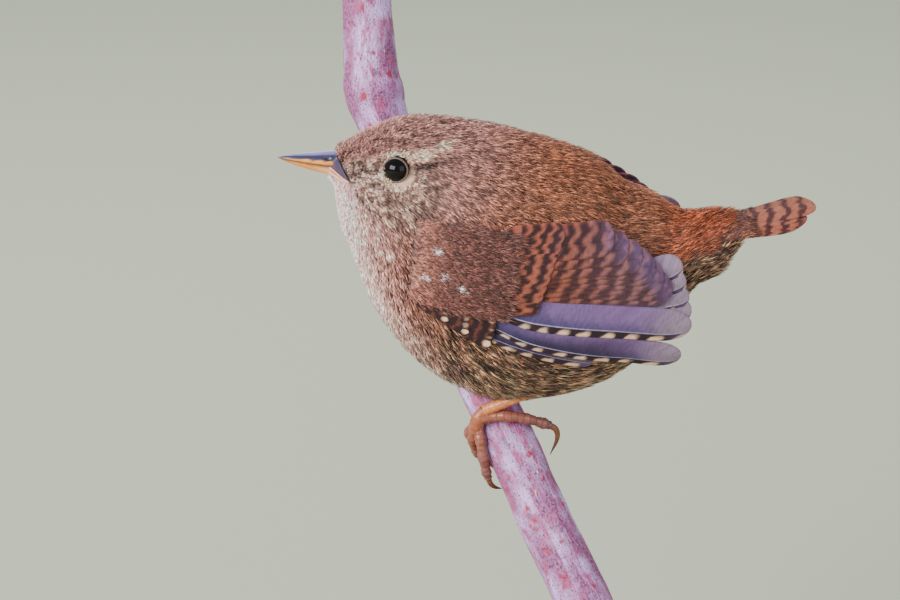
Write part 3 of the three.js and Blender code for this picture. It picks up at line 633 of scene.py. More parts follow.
def scatter(count, weight, seed):
    """Places and angles spread evenly over the body's area times a weight, by a fixed random draw."""
    draw = np.random.default_rng(seed)
    place = np.linspace(0, LAST_RIB, 401)
    angle = np.linspace(0, TAU, 241)
    p, a = np.meshgrid((place[1:] + place[:-1]) / 2, (angle[1:] + angle[:-1]) / 2, indexing="ij")
    step_p, step_a = place[1] - place[0], angle[1] - angle[0]
    along = body_point(p + step_p / 2, a) - body_point(p - step_p / 2, a)
    round_it = body_point(p, a + step_a / 2) - body_point(p, a - step_a / 2)
    area = np.linalg.norm(np.cross(along, round_it), axis=-1) * weight(p, a)
    chance = np.cumsum(area.ravel())
    cell = np.searchsorted(chance, draw.random(count) * chance[-1])
    p = p.ravel()[cell] + (draw.random(count) - 0.5) * step_p
    a = a.ravel()[cell] + (draw.random(count) - 0.5) * step_a
    return p, a


def lie_of_coat(place, angle):
    """Points of the body, their outward normals and their directions towards the tail."""
    step = 0.02
    here = body_point(place, angle)
    along = body_point(np.minimum(place + step, LAST_RIB), angle) - body_point(place - step, angle)
    round_it = body_point(place, angle + step) - body_point(place, angle - step)
    normal = unit(np.cross(round_it, along))
    middle_x, middle_z, *_ = rib_axes(place)
    outwards = here - np.stack([middle_x, 0 * middle_x, middle_z], 1)
    normal *= np.sign(np.einsum("ij,ij->i", normal, outwards))[:, None]
    return here, normal, unit(along - normal * np.einsum("ij,ij->i", along, normal)[:, None])


def lie_of_sheet(sheet, u, v, step, away):
    """Points of a sheet at u and v, their normals on the side that away points to, and their directions
    along u."""
    along = sheet(u + step, v) - sheet(u - step, v)
    normal = unit(np.cross(along, sheet(u, v + step) - sheet(u, v - step)))
    return sheet(u, v), normal * np.sign((normal * away).sum(1))[:, None], unit(along)


def ruffled(lie, normal, amount, draw):
    """The lie turned a little to either side, each comb by its own amount."""
    turn = (draw.random(len(lie)) - 0.5) * amount
    return unit(lie + np.cross(normal, lie) * turn[:, None])


def combs(roots, normal, lie, length, width, lift, thick, draw):
    """Combs of barbs: each barb is a three-sided spike of two lengths from a sunk root to a point,
    fanned out and bent back along the lie. Gives points, faces and each point's share along its barb."""
    m = len(roots)
    length, width, lift = (np.broadcast_to(k, m) for k in (length, width, lift))
    across = np.cross(normal, lie)
    fan_place = (np.arange(BARB_COUNT) + 0.5) / BARB_COUNT * 2 - 1
    fan_place = fan_place[None] + (draw.random((m, BARB_COUNT)) - 0.5) * 0.5
    size = length[:, None] * (1 - 0.22 * fan_place**2) * (0.75 + 0.5 * draw.random((m, BARB_COUNT)))
    share = BARB_SHARES
    spread = fan_place[..., None] * width[:, None, None] * (0.35 + 0.65 * share)
    run = size[..., None] * share
    loose = 0.6 + 0.8 * draw.random((m, BARB_COUNT, 1)) ** 2
    rise = lift[:, None, None] * (share * (1.7 - 0.9 * share)) * loose - BARB_SINK
    spine = (
        roots[:, None, None]
        + across[:, None, None] * spread[..., None]
        + lie[:, None, None] * run[..., None]
        + normal[:, None, None] * rise[..., None]
    )
    corner = np.array([[-1.0, 0.0], [1.0, 0.0], [0.0, 1.1]]) * thick
    taper = np.array([0.75, 1.0])
    side_part = across[:, None, None, None] * corner[:, :1]
    up_part = normal[:, None, None, None] * corner[:, 1:]
    rings = spine[:, :, :2, None] + (side_part + up_part) * taper[None, None, :, None, None]
    rings = rings.reshape(m, BARB_COUNT, BARB_POINTS - 1, 3)
    points = np.concatenate([rings, spine[:, :, 2:3]], 2).reshape(-1, 3)
    one = outward(points[:BARB_POINTS], BARB_FACES)
    faces = (np.arange(m * BARB_COUNT)[:, None, None] * BARB_POINTS + one[None]).reshape(-1, 3)
    return points, faces, np.tile(np.repeat(share, (3, 3, 1)), m * BARB_COUNT)


def comb_uv(place_uv, share):
    """Each comb is a small patch on the skin's map, its barbs side by side."""
    barb = np.repeat(np.tile(np.arange(BARB_COUNT), len(place_uv)), BARB_POINTS) / BARB_COUNT - 0.5
    shift = np.stack([share - 0.5, barb], 1) * UV_PATCH
    return np.repeat(place_uv, BARB_COUNT * BARB_POINTS, axis=0) + shift


def comb_tint(tints, share, draw):
    """The barbs' colours: those of the coat at the barb's root, middle and point, each barb its own shade,
    darker at the root, and less of both where the coat is pale."""
    pale = smooth(0.35, 0.72, tints[1].mean(1))
    shade = draw.random((len(pale), BARB_COUNT))
    shade = (0.22 + 1.4 * shade) * (1 - pale[:, None]) + (0.74 + 0.85 * shade) * pale[:, None]
    root, middle, point = (np.repeat(k, BARB_COUNT, axis=0)[:, None] for k in tints)
    colour = np.concatenate([root, root, root, middle, middle, middle, point], 1).reshape(-1, 3)
    pale_point = np.repeat(pale, BARB_COUNT * BARB_POINTS)
    rise = (0.4 + 0.32 * pale_point) + (1.05 - 0.32 * pale_point) * share
    return colour * (np.repeat(shade.ravel(), BARB_POINTS) * rise)[:, None]


def comb_piece(name, roots, normal, lie, sizes, tints, place_uv, draw):
    """One piece of the coat: combs at these roots, with sizes (length, width, lift and thickness), their
    colours and their places on the map."""
    points, faces, share = combs(roots, normal, lie, *sizes, draw)
    colour = comb_tint(tints, share, draw)
    piece(name, points, faces, "plumage", BARBS, tint=colour, uv=comb_uv(place_uv, share))


def wing_place(x, z, side):
    """The wing map's s and t over a point of the bird's middle plane."""
    dx, dz = x - WRIST_X, z - WRIST_Z - WING_RAISE * (side > 0)
    c, s = math.cos(WING_SLOPE), math.sin(WING_SLOPE)
    return dx * c - dz * s, dx * s + dz * c


def coat_weight(place, angle):
    """How dense the combs stand: densest on the face, none on the eyes and the bill's bare sides, few
    under the wings."""
    x, y, z = np.moveaxis(body_point(place, angle), -1, 0)
    dense = 1 + 2.1 * smooth(5.5, 2.5, place)
    eye = np.hypot(x - EYE_X, z - EYE_Z) > 2.3
    bill_side = (z > CORNER_Z - 0.1) & (z < BASE_TOP[1]) & (x < CORNER_X - (z - CORNER_Z) * BASE_SLANT)
    s, t = wing_place(x, z, np.sign(y))
    hidden = (s > 3) & (s < 34) & (t > -3) & (t < 14) & (np.abs(y) > 8)
    return dense * eye * ~bill_side * np.where(hidden, 0.05, 1.0)


def in_part(part, place, below, side):
    """Which combs lie in a part of the coat."""
    first, last, half, hand = part
    chosen = (place >= first) & (place < last)
    if half != "whole":
        chosen &= (below < 0.5) == (half == "upper")
    if hand:
        chosen &= (side >= 0) == (hand > 0)
    return chosen


def coat():
    """The combs over the whole body, longer and looser below, smallest on the face."""
    draw = np.random.default_rng(11)
    place, angle = scatter(COMBS, coat_weight, 7)
    here, normal, lie = lie_of_coat(place, angle)
    below, side = 0.5 - 0.5 * np.cos(angle), np.sign(np.sin(angle))
    eye_gap = np.hypot(here[:, 0] - EYE_X, here[:, 2] - EYE_Z)
    length = 0.9 + 2.1 * smooth(1.5, 7.5, place) + 0.9 * smooth(0.5, 0.9, below) * smooth(7, 10, place)
    length = length * (1 - 0.5 * smooth(5.0, 2.6, eye_gap))
    width = 0.24 + 0.48 * smooth(2.0, 8.0, place)
    lift = 1.0 + 0.3 * smooth(5, 9, place) + 0.7 * smooth(0.55, 0.95, below) * smooth(1, 6, place)
    lift = lift - 1.0 * smooth(0.6, 0.9, below) * smooth(8.5, 10.0, place) * smooth(14.5, 12.5, place)
    lift = lift + UPPER_FRINGE * smooth(0.4, 0.1, below)
    roots = here - normal * (COAT_DEPTH - 0.1) * smooth(0, 1.5, place)[:, None]
    lie = ruffled(lie, normal, 0.42, draw)
    further = body_point(np.minimum(place + 0.1, LAST_RIB), angle) - body_point(place - 0.1, angle)
    per_rib = np.maximum(np.linalg.norm(further, axis=1) / 0.2, 2.0)
    jitter = (0.8 + 0.4 * draw.random(len(place)))[:, None]
    tints = []
    for share in BARB_SHARES:
        at = place + share * length / per_rib
        tints.append(plumage(here + lie * (length * share)[:, None], at, angle) * jitter)
    for name, part in COAT_PIECES.items():
        pick = in_part(part, place, below, side)
        thick = 0.066 + 0.042 * smooth(2, 7, place[pick]).mean()
        sizes = (length[pick], width[pick], lift[pick], thick)
        picked_tints = [k[pick] for k in tints]
        uv = bake_place(place[pick], angle[pick])
        comb_piece(name, roots[pick], normal[pick], lie[pick], sizes, picked_tints, uv, draw)


def covert_point(x, turn, grow=0.0):
    """A point of the tail coverts' surface: ovals round the tail's root that flatten from rump to tail."""
    middle, tall, wide = (np.interp(x, COVERT_X, k) for k in (COVERT_MIDDLE, COVERT_TALL, COVERT_WIDE))
    return np.stack([x + 0 * turn, (wide + grow) * np.sin(turn), middle + (tall + grow) * np.cos(turn)], -1)


def tail_coverts():
    """Short barred combs on a closed bed that lead the rump's coat onto the tail, above and at the sides."""
    x, turn = np.linspace(COVERT_X[0], COVERT_X[-1], 40), np.linspace(0, TAU, 64, endpoint=False)
    rings = covert_point(*np.meshgrid(x, turn, indexing="ij"), -COVERT_BED_DEPTH)
    points, faces = ring_skin(rings)
    # The bed carries the rump's colour at 0.35: painted shade under the coverts.
    bed = np.tile(RUMP * 0.35, (len(points), 1))
    piece("covert_bed", points, faces, "plumage", DOWN, tint=bed)
    draw = np.random.default_rng(5)
    x = COVERT_X[0] + (COVERT_X[-1] - COVERT_X[0]) * draw.random(COVERT_COMBS) ** 0.9
    turn = (draw.random(COVERT_COMBS) * 2 - 1) * COVERT_TURN
    away = np.stack([0 * turn, np.sin(turn), np.cos(turn)], 1)
    here, normal, lie = lie_of_sheet(covert_point, x, turn, 0.1, away)
    lie = ruffled(lie, normal, 0.4, draw)
    tints = []
    for share in BARB_SHARES:
        at = here + lie * (COVERT_LENGTH * share)
        scallop = 0.22 * np.cos(TAU * at[:, 1] / 2.6) + (noise(at, 1.4, 9) - 0.5) * 0.5
        wave = np.sin(TAU * (at[:, 0] / 2.7 + scallop))
        warm = mix(RUMP * 0.42, TAIL_BASE * 1.1, smooth(31, 36, at[:, 0]))
        colour = mix(warm, TAIL_DARK, smooth(0.0, 0.6, wave) * 0.8 * smooth(30.5, 34, at[:, 0]))
        tints.append(colour * (0.7 + 0.6 * noise(at, 0.7, 2))[:, None])
    sizes = (COVERT_LENGTH, 0.62, 0.72, 0.085)
    uv = np.stack([0.1 + x / 60, 0.5 + turn / 5], 1)
    comb_piece("tail_coverts", here - normal * 0.25, normal, lie, sizes, tints, uv, draw)


# Wings


def wing_point(side, s, t, depth):
    """A point of a folded wing: its outer sheet bulges over the body's flank, falls off to its front, rear
    and edges, lies depth below its outer layer, and never sinks into the body."""
    c, sn = math.cos(WING_SLOPE), math.sin(WING_SLOPE)
    s, t, depth = np.broadcast_arrays(*(np.asarray(k, float) for k in (s, t, depth)))
    x = WRIST_X + s * c + t * sn
    z = WRIST_Z - s * sn + t * c + (WING_RAISE if side > 0 else 0)
    from_bulge = s - WING_BULGE_AT
    front = WING_FRONT_FALL * (from_bulge / WING_BULGE_AT) ** 2
    rear = WING_REAR_FALL * (from_bulge / WING_REAR_REACH) ** 2
    middle = 3 * np.clip(s / 25, 0, 1)
    outer = WING_BULGE - np.where(from_bulge < 0, front, rear) - (t - middle) ** 2 / (2 * WING_CROSS) - depth
    outer = outer - WING_WRIST_FALL * smooth(9, -1, s)
    thickening = smooth(-3, 9, s)
    on_body = body_half_width(x, z) + WING_SKIN_LIFT
    on_body = on_body + WING_LAYER_LIFT * (WING_DEEPEST - depth) * (0.35 + 0.65 * thickening)
    y = (outer + on_body + np.hypot(outer - on_body, 0.8)) / 2
    return np.stack([x, side * y, z], -1)


TIP_REACH = {"primary": 1.6, "tail": 2.4}


def vane_width(share, length, half, kind):
    """A vane's half width along it: narrow at the root, full at a third, round at the tip."""
    grown = 0.6 + 0.4 * smooth(0, 0.3, share)
    tip_start = 1 - min(0.45, half * TIP_REACH.get(kind, 1.1) / length)
    u = np.clip((share - tip_start) / (1 - tip_start), 0, 1)
    return half * grown * np.sqrt(np.clip(1 - u**2.4, 0.0, 1))


# The paint functions give a vane's colours from the distance d along its length, the place a across it
# (-1 to 1), its own number r from 0 to 1, a jagged noise, the wing's s and t, and its shaft's place.


def paint_primary(d, length, a, r, jag, s, t, shaft):
    """Plain violet-grey inner web, bluish beside the shaft; dark outer web with pale spots on its edge."""
    inner = (a - shaft) / (1 - shaft)
    # Painted shade: the lowest feathers are darkened by up to 0.62 towards the front of the wing.
    painted_shade = 1 - 0.62 * smooth(-0.8, -4.0, t) * smooth(44, 30, s)
    colour = mix(WEB_BLUE, WEB_GREY, smooth(0.0, 0.5, inner) * 0.75 + 0.25 * smooth(20, 36, s))
    colour = mix(colour, WEB_BLUE * 0.7, smooth(26, 14, s) * 0.75)
    colour = mix(colour, WEB_TIP, smooth(length - 9, length - 0.5, d) * 0.65)
    colour = colour * painted_shade[..., None]
    outer_share = np.clip((shaft - a) / (1 + shaft), 0, 1)
    centre = (d / 3.9 + r + outer_share * 0.25 + jag * 0.25) % 1.0 - 0.5
    away = np.hypot(centre / 0.3, (outer_share - 0.95) / 0.75)
    web = mix(WEB_DARK, SPOT, smooth(1.1, 0.6, away) * (0.75 + 0.25 * smooth(10, 20, d)))
    web = mix(web, WEB_GREY, smooth(length - 4, length - 0.5, d) * 0.5)
    return mix(colour, web, smooth(0.0, 0.06, outer_share))


def bar_phase(s, t):
    """How many bars lie before a point of the wing: the bars run across all its feathers, leaning back
    over the coverts and upright towards the tips, 2.5 mm apart in front and 3.3 mm behind."""
    lean = 0.6 - 0.5 * smooth(12, 30, s)
    along = s - lean * (t - 8)
    return np.where(along < 20, along / 2.6, 20 / 2.6 + (along - 20) / 3.3)


def paint_barred(d, length, a, r, jag, s, t, shaft):
    """Rufous in front and mauve-brown behind, crossed by dark bars that join from feather to feather,
    scalloped on each web."""
    scallop = 0.16 * np.cos(TAU * np.abs(a))
    wave = np.sin(TAU * (bar_phase(s, t) + scallop + (r - 0.5) * 0.3) + jag * 2.2)
    far = smooth(18, 38, s)
    base = mix(BAR_NEAR, BAR_FAR, far)
    base = base * (0.8 + 0.5 * smooth(-0.2, -0.9, wave))[..., None]
    dark = mix(BARRED_DARK, BARRED_FAR, far)
    colour = mix(base, dark, smooth(-0.2, 0.4, wave) * (0.94 - 0.2 * far))
    tip = smooth(length - 3.2, length - 0.6, d)
    colour = mix(colour, WEB_GREY * 0.6, tip * far * 0.6)
    return mix(colour, base * 1.5, smooth(0.8, 1.0, np.abs(a)) * 0.5)


def paint_spotted(d, length, a, r, jag, s, t, shaft):
    """A dark brown covert with a broken rufous bar and a pale spot at its tip."""
    wave = np.sin(d / 1.9 * 2 * np.pi + r * 6 + jag * 2)
    colour = mix(BARRED_DARK, BAR_NEAR * 0.8, smooth(0.2, 0.9, wave) * 0.6)
    across = (a + 0.25 + jag * 0.6) / (0.34 + 0.2 * r)
    spot = smooth(1.25, 0.6, np.hypot((d - length + 0.75) / (0.4 + 0.3 * r), across) + jag * 0.9)
    return mix(colour, SPOT, spot * (0.95 if r > 0.2 else 0.3))


def paint_plain(d, length, a, r, jag, s, t, shaft):
    """A brown covert with faint fine bars."""
    wave = np.sin(TAU * bar_phase(s, t) * 1.7 + r * 3 + jag * 1.5)
    return mix(SHOULDER * 0.8, BACK_DARK, smooth(0.0, 0.8, wave) * 0.6)


def paint_tail(d, length, a, r, jag, s, t, shaft):
    """Rufous with dark bars that bow towards the tip, and a paler end."""
    wave = np.sin(TAU * (d / 2.9 + 0.30 * np.abs(a) + (r - 0.5) * 0.15) + jag * 2.2)
    colour = mix(TAIL_BASE, TAIL_DARK, smooth(-0.05, 0.6, wave) * 0.88)
    return mix(colour, TAIL_BASE * 1.5, smooth(length - 1.5, length, d) * 0.5)


PAINTS = {
    "primary": paint_primary,
    "secondary": paint_barred,
    "tertial": paint_barred,
    "greater": paint_barred,
    "lesser": paint_plain,
    "spotted": paint_spotted,
    "tail": paint_tail,
}


def vane_columns(shaft):
    """The places across a vane where its points stand, close beside the shaft."""
    left = np.linspace(-1, shaft - 0.05, 5)
    right = np.linspace(shaft + 0.05, 1, 7)
    return np.concatenate([left, [shaft], right])


def vane(sheet, chart, length, half, kind, seed, shaft=-0.1):
    """One feather: a thin plate on a sheet(distance along, distance across, height over the sheet) with a
    raised shaft and webs that arch down to their edges; chart gives its place on the wing's map."""
    rows = int(np.clip(length / 0.34, 10, 110))
    share = 1 - (1 - np.linspace(0, 1, rows)) ** 1.15
    columns = vane_columns(shaft)
    width = vane_width(share, length, half, kind)[:, None] + 0.02
    d = share[:, None] * length * np.ones((1, len(columns)))
    across = columns[None] * width
    arch = 0.16 * (1 - columns[None] ** 2) * np.minimum(1, width / 1.5)
    on_shaft = (np.abs(columns - shaft) < 1e-6)[None]
    ridge = 0.09 * on_shaft * (1 - 0.8 * share[:, None])
    upper = sheet(d, across, arch + ridge)
    lower = sheet(d, across, arch - VANE_THICK)
    points, faces = plate(upper, lower)
    r = hashed(np.array([[seed, seed * 3.7, 1.0]]), 5)[0]
    key = np.stack([d, across, np.full(d.shape, seed * 10.0)], -1)
    jag = noise(key, 0.9, 4) - 0.5
    s, t = chart(d, across)
    colour = PAINTS[kind](d, length, columns[None] * np.ones_like(d), r, jag, s, t, shaft)
    if kind == "primary":
        colour = mix(colour, SHAFT, 0.85 * on_shaft * (1 - 0.5 * share[:, None]))
    else:
        colour = colour * (1 - 0.3 * on_shaft[..., None])
    barb = noise(np.stack([d - np.abs(across) * 0.8, np.sign(across) * 3.0, key[..., 2]], -1), 0.25, 6)
    colour = colour * (0.8 + 0.4 * barb[..., None])
    colour = colour.reshape(-1, 3)
    # The under side carries the colours 1.3 times lighter: painted light, so that under sides turned to the
    # camera look lit.
    return points, faces, np.concatenate([colour, colour * 1.3])


def wing_vane(side, path, half, depth, kind, seed, shaft=-0.1):
    """A vane laid on the wing's map along a bend from its root by way of its middle to its tip."""
    root, middle, tip = (np.array(p, float) for p in path)
    length = float(np.linalg.norm(middle - root) + np.linalg.norm(tip - middle))
    control = 2 * middle - (root + tip) / 2

    def chart(d, across):
        u = (d / length)[..., None]
        at = (1 - u) ** 2 * root + 2 * u * (1 - u) * control + u * u * tip
        way = unit((1 - u) * (control - root) + u * (tip - control))
        return at[..., 0] - way[..., 1] * across, at[..., 1] + way[..., 0] * across

    def sheet(d, across, height):
        s, t = chart(d, across)
        return wing_point(side, s, t, depth - height)

    return vane(sheet, chart, length, half, kind, seed, shaft)


def fan(first, last, count, half, depths, kind, bow=0.0):
    """A row of feathers between a first and a last one, each given by its root and tip, at depths that run
    from the first to the last; bow moves the tips of the middle ones towards the tail."""
    row = []
    for i in range(count):
        f = i / max(count - 1, 1)
        root, tip = (np.array(a) * (1 - f) + np.array(b) * f for a, b in zip(first, last))
        tip = tip + np.array([bow * math.sin(math.pi * f), 0.0])
        path = (root, (root + tip) / 2, tip)
        row.append((path, half, depths[0] * (1 - f) + depths[1] * f, kind, -0.1))
    return row


# Single flight feathers: root, middle and tip on the wing's map, half width, depth under the wing's
# outer sheet, kind, and the shaft's place across the vane.
FLIGHT = [
    (((11, -3.4), (20.0, -5.3), (31.0, -7.3)), 1.3, 3.1, "primary", -0.15),
    (((12.0, -0.6), (27.0, -3.4), (46.9, -6.3)), 2.75, 2.85, "primary", -0.6),
    (((12.5, 5.2), (30.0, 7.4), (44.6, 11.6)), 2.9, 2.7, "primary", -0.4),
    (((12.5, 4.6), (30.0, 5.8), (45.6, 9.0)), 2.9, 2.75, "primary", -0.4),
    (((12.0, 4.0), (30.0, 4.4), (46.6, 6.0)), 3.0, 2.8, "primary", -0.4),
    (((12.0, 3.6), (30.0, 3.2), (47.4, 3.2)), 3.0, 2.85, "primary", -0.4),
    (((10.5, 2.9), (17.5, 3.2), (26.0, 3.4)), 1.5, 2.6, "primary", 0.3),
    (((11.0, 2.6), (27.0, 1.7), (47.8, 0.4)), 3.3, 2.5, "primary", -0.56),
]
WING_ROWS = (
    FLIGHT
    + fan(((12, 7.2), (43.4, 7.4)), ((13, 11.6), (39.0, 12.0)), 6, 2.75, (2.1, 1.5), "secondary")
    + fan(((13.4, 10.6), (37.2, 13.4)), ((13, 13.4), (31.8, 16.2)), 3, 2.9, (1.3, 0.85), "tertial")
    + fan(((10.5, 2.6), (20.0, 4.0)), ((11.5, 14.4), (22.8, 16.4)), 8, 1.9, (0.9, 0.5), "greater")
    + fan(((6.0, 1.8), (13.4, 3.0)), ((6.4, 12.6), (15, 14.2)), 7, 1.7, (0.55, 0.35), "greater")
    + fan(((2.6, 1.2), (9.0, 2.0)), ((2.8, 11.8), (9.8, 12.6)), 7, 1.6, (0.35, 0.3), "lesser")
    + fan(((-1.4, 1.2), (4.8, 1.6)), ((-1.6, 11), (5.4, 11.4)), 7, 1.6, (0.3, 0.3), "lesser")
    + fan(((6.6, 1.8), (12.8, 1.6)), ((5.6, -2.4), (12.6, -5.0)), 5, 1.3, (0.85, 1.3), "spotted", 0.3)
    + fan(((2.4, 0.8), (8.2, 0.9)), ((2.2, -1.4), (8.4, -3.4)), 4, 1.1, (0.55, 0.9), "spotted")
    + fan(((-0.8, 0.8), (4.4, 0.8)), ((-1.4, -0.4), (4.6, -1.9)), 3, 0.95, (0.3, 0.55), "spotted")
)


def wing_pad(side):
    """The dark bed under the wing's feathers, painted shade seen between them: a plate that follows the body.
    """
    s = np.linspace(-0.4, 23.6, 40)[:, None]
    low = 0.2 - 3.4 * smooth(1, 12, s)
    high = 11 + 5.5 * smooth(0, 20, s)
    t = low + (high - low) * np.linspace(0, 1, 24)[None]
    deep = 1.2 + 2.1 * smooth(-1, 6, s)
    points, faces = plate(wing_point(side, s, t, deep), wing_point(side, s, t, deep + 0.6))
    return points, faces, np.tile(BARRED_DARK, (len(points), 1))


def wing(name, side):
    """All the vanes of one folded wing over its bed."""
    first_seed = 500 if side > 0 else 0
    parts = [wing_pad(side)]
    for number, (path, half, depth, kind, shaft) in enumerate(WING_ROWS):
        parts.append(wing_vane(side, path, half, depth, kind, first_seed + number, shaft))
    joined_piece(f"wing_feathers_{name}", parts, "wing_feathers", VANES, (f"wing_{name}",))


# Pale spots of the shoulder, as s and t on the wing's map.
SHOULDER_SPOTS = ((1.3, 9.9), (3.1, 5.9), (-0.5, 4.8), (6.4, 4.6))


def shoulder_tint(here, at_s, t, s):
    """The wrist's colour: brown with fine dark bars, a few pale tips, and the breast's colour in front."""
    fine = noise(here, 0.7, 2)
    wave = np.sin(TAU * bar_phase(at_s, t) * 1.9 + (noise(here, 1.5, 9) - 0.5) * 4)
    tint = mix(SHOULDER, BACK_DARK, smooth(0.0, 0.8, wave) * 0.6)
    tint = mix(tint, mix(FLANK, BREAST, 0.4), smooth(3.0, -3.0, s) * 0.75)
    for spot_s, spot_t in SHOULDER_SPOTS:
        away = np.hypot((at_s - spot_s) / 0.7, (t - spot_t) / 0.38)
        tint = mix(tint, SHOULDER_SPOT, smooth(1.3, 0.7, away) * 0.9)
    return tint * (0.65 + 0.7 * fine)[:, None]


def shoulder(name, side):
    """Soft small coverts that carry the body's coat over the wrist and the front of the wing."""
    draw = np.random.default_rng(40 + side)
    s = -3.6 + 19.0 * draw.random(SHOULDER_COMBS) ** 1.1
    t = -0.6 + 15.4 * draw.random(SHOULDER_COMBS) + s * 0.05
    kept = draw.random(len(s)) < smooth(15.5, 9.0, s) * smooth(-3.8, -1.5, s + draw.random(len(s)))
    kept &= draw.random(len(s)) < smooth(-0.8, 1.2, t - 0.2 * np.sin(s))
    s, t = s[kept], t[kept]

    def outer_sheet(s, t):
        return wing_point(side, s, t, 0.0)

    here, normal, lie = lie_of_sheet(outer_sheet, s, t, 0.2, np.array([0.0, side, 0.0]))
    lie = ruffled(lie, normal, 0.5, draw)
    length = 1.9 + 0.8 * smooth(0, 8, s)
    tints = []
    for share in BARB_SHARES:
        run = length * share
        tints.append(shoulder_tint(here + lie * run[:, None], s + run, t, s))
    uv = np.stack([0.25 + s / 20, 0.1 + t / 16], 1)
    sizes = (length, 0.6, 0.75, 0.09)
    comb_piece(f"shoulder_coat_{name}", here - normal * 0.1, normal, lie, sizes, tints, uv, draw)


# Tail

# The tail's root, its rise over its length, and each half's feathers: how many, their step sideways, half
# width and layer. The right half is rolled and lifted towards its tip.
TAIL_ROOT_X, TAIL_ROOT_Z, TAIL_RISE, TAIL_LENGTH = 29.0, 6.7, 0.1, 20.2
TAIL_PAIRS, TAIL_STEP, TAIL_HALF, TAIL_LAYER = 6, 0.55, 2.4, 0.17
TAIL_RIGHT_ROLL, TAIL_RIGHT_LIFT = 0.25, 0.95


def tail_vane(side, order):
    """One tail feather of a half: each lies under and outside the one before it. The right half is rolled
    up towards its outer edge."""
    spread = order / (TAIL_PAIRS - 1)
    near = side < 0
    length = TAIL_LENGTH * (1 - 0.1 * spread**2) - (1.6 if near else 0)
    step = TAIL_STEP * (0.62 if near else 1.0)
    tip_y, root_y = side * (0.9 + order * step * 1.45), side * (0.5 + order * TAIL_STEP * 0.6)
    roll, lift = (0.0, 0.0) if near else (TAIL_RIGHT_ROLL, TAIL_RIGHT_LIFT)

    def chart(d, across):
        return d, root_y + (tip_y - root_y) * d / length + across

    def sheet(d, across, height):
        share = np.clip(d / length, 0, 1)
        y = chart(d, across)[1]
        x = TAIL_ROOT_X + d
        rolled = roll * (y * side - 0.5) * share**0.6 + lift * share
        z = TAIL_ROOT_Z + d * TAIL_RISE + rolled - order * TAIL_LAYER - 0.02 * y * y * (1 - share) + height
        return np.stack([x, y, z], -1)

    return vane(sheet, chart, length, TAIL_HALF, "tail", 900 + order * 2 + (side > 0))


def tail():
    """Two halves of six barred feathers."""
    parts = [tail_vane(side, order) for side in (-1, 1) for order in range(TAIL_PAIRS)]
    joined_piece("tail_feathers", parts, "tail_feathers", TAIL_VANES, ("tail",))


# Bill, eyes

# Ends of the bill as x and z: its tip, and its base on top, at the mouth and below.
BILL_TIP, BILL_CULMEN, BILL_MOUTH, BILL_CHIN = (-46.8, 19.9), (-36.7, 20.5), (-36.9, 18.6), (-37.5, 16.9)
BILL_HALF, BILL_BEND = 2.0, 0.45
# Rims of the mouth's corner: drop under its line, radius and colour.
GAPE_RIMS = [(-0.12, 0.16, ink(84, 62, 74)), (0.14, 0.24, ink(228, 172, 134))]
# Bands of the bill's bare sides from its top down, over blue-grey: start, full and colour.
SIDE_BANDS = [
    (0.25, 0.36, ink(92, 60, 48)),
    (0.36, 0.44, ink(70, 62, 104)),
    (0.5, 0.58, ink(228, 142, 58)),
    (0.72, 0.75, ink(70, 44, 54)),
    (0.77, 0.82, ink(232, 178, 150)),
]


def mandible(outer_root, direction):
    """One half of the bill: half-round sections between the mouth line and the bill's outer edge. The
    upper half has a low ridge on top and a nostril on each side."""
    f = np.linspace(-0.12, 1, 60)[:, None]
    g = np.clip(f, 0, 1)
    slim, blunt = (1 - g) ** 0.85, np.sqrt(np.clip(1 - g**6, 0, 1))
    angle = np.linspace(0, np.pi, 40)[None]
    tip_x = BILL_TIP[0] + (0.5 if direction < 0 else 0)
    mouth_x = BILL_MOUTH[0] - 0.3 + (tip_x - BILL_MOUTH[0] + 0.3) * f
    mouth_z = BILL_MOUTH[1] + (BILL_TIP[1] - BILL_MOUTH[1]) * g
    mouth_z = mouth_z - BILL_BEND * 0.4 * np.sin(np.pi * g) - 0.35 * g**3
    depth = abs(outer_root[1] - BILL_MOUTH[1]) * slim + 0.26 * blunt
    half = BILL_HALF * slim + 0.2 * blunt
    ridge = 1 + 0.08 * np.exp(-(((angle - np.pi / 2) / 0.25) ** 2))
    nostril = np.zeros((len(f), angle.size))
    if direction > 0:
        off_x, off_a = (mouth_x + 38.0) / 0.6, (np.minimum(angle, np.pi - angle) - 0.66) / 0.11
        nostril = 0.2 * np.exp(-(off_x**2) - off_a**2)
    x = mouth_x + (outer_root[0] - BILL_MOUTH[0]) * (1 - g) * np.sin(angle)
    y = np.cos(angle) * half
    z = mouth_z + direction * (0.06 + np.sin(angle) * depth * (ridge - nostril))
    points, faces = ring_skin(np.stack([x, y * (1 - nostril * 0.6), z], -1))
    edge = np.abs(np.cos(angle)) * np.ones_like(f)
    far = g * np.ones_like(angle)
    grain = noise(np.stack([x * 0.4, y, z], -1), 0.3, 14)
    if direction > 0:
        # Painted highlight: the top of the upper half is lightened to pale lilac along its ridge.
        tint = mix(HORN_BLUE, RIDGE_HIGHLIGHT, smooth(0.8, 1.0, np.sin(angle)) * np.ones_like(f) * 0.75)
        low_edge = smooth(0.85, 0.94, edge + 0.1 * (grain - 0.5))
        tint = mix(tint, HORN_ORANGE, low_edge * smooth(0.98, 0.7, far) * 0.95)
        tint = mix(tint, ink(28, 20, 26), np.clip(nostril * 6, 0, 1))
        tint = mix(tint, ink(40, 30, 40), smooth(0.975, 1.0, edge) * 0.8)
    else:
        tint = mix(ink(222, 140, 60), ink(240, 176, 130), smooth(0.4, 0.0, far) * 0.8)
        tint = mix(tint, ink(96, 60, 50), smooth(0.7, 1.0, far) * 0.7)
        tint = mix(tint, ink(60, 40, 48), smooth(0.975, 1.0, edge) * 0.6)
    return points, faces, with_hubs(tint * (0.85 + 0.3 * grain[..., None]))


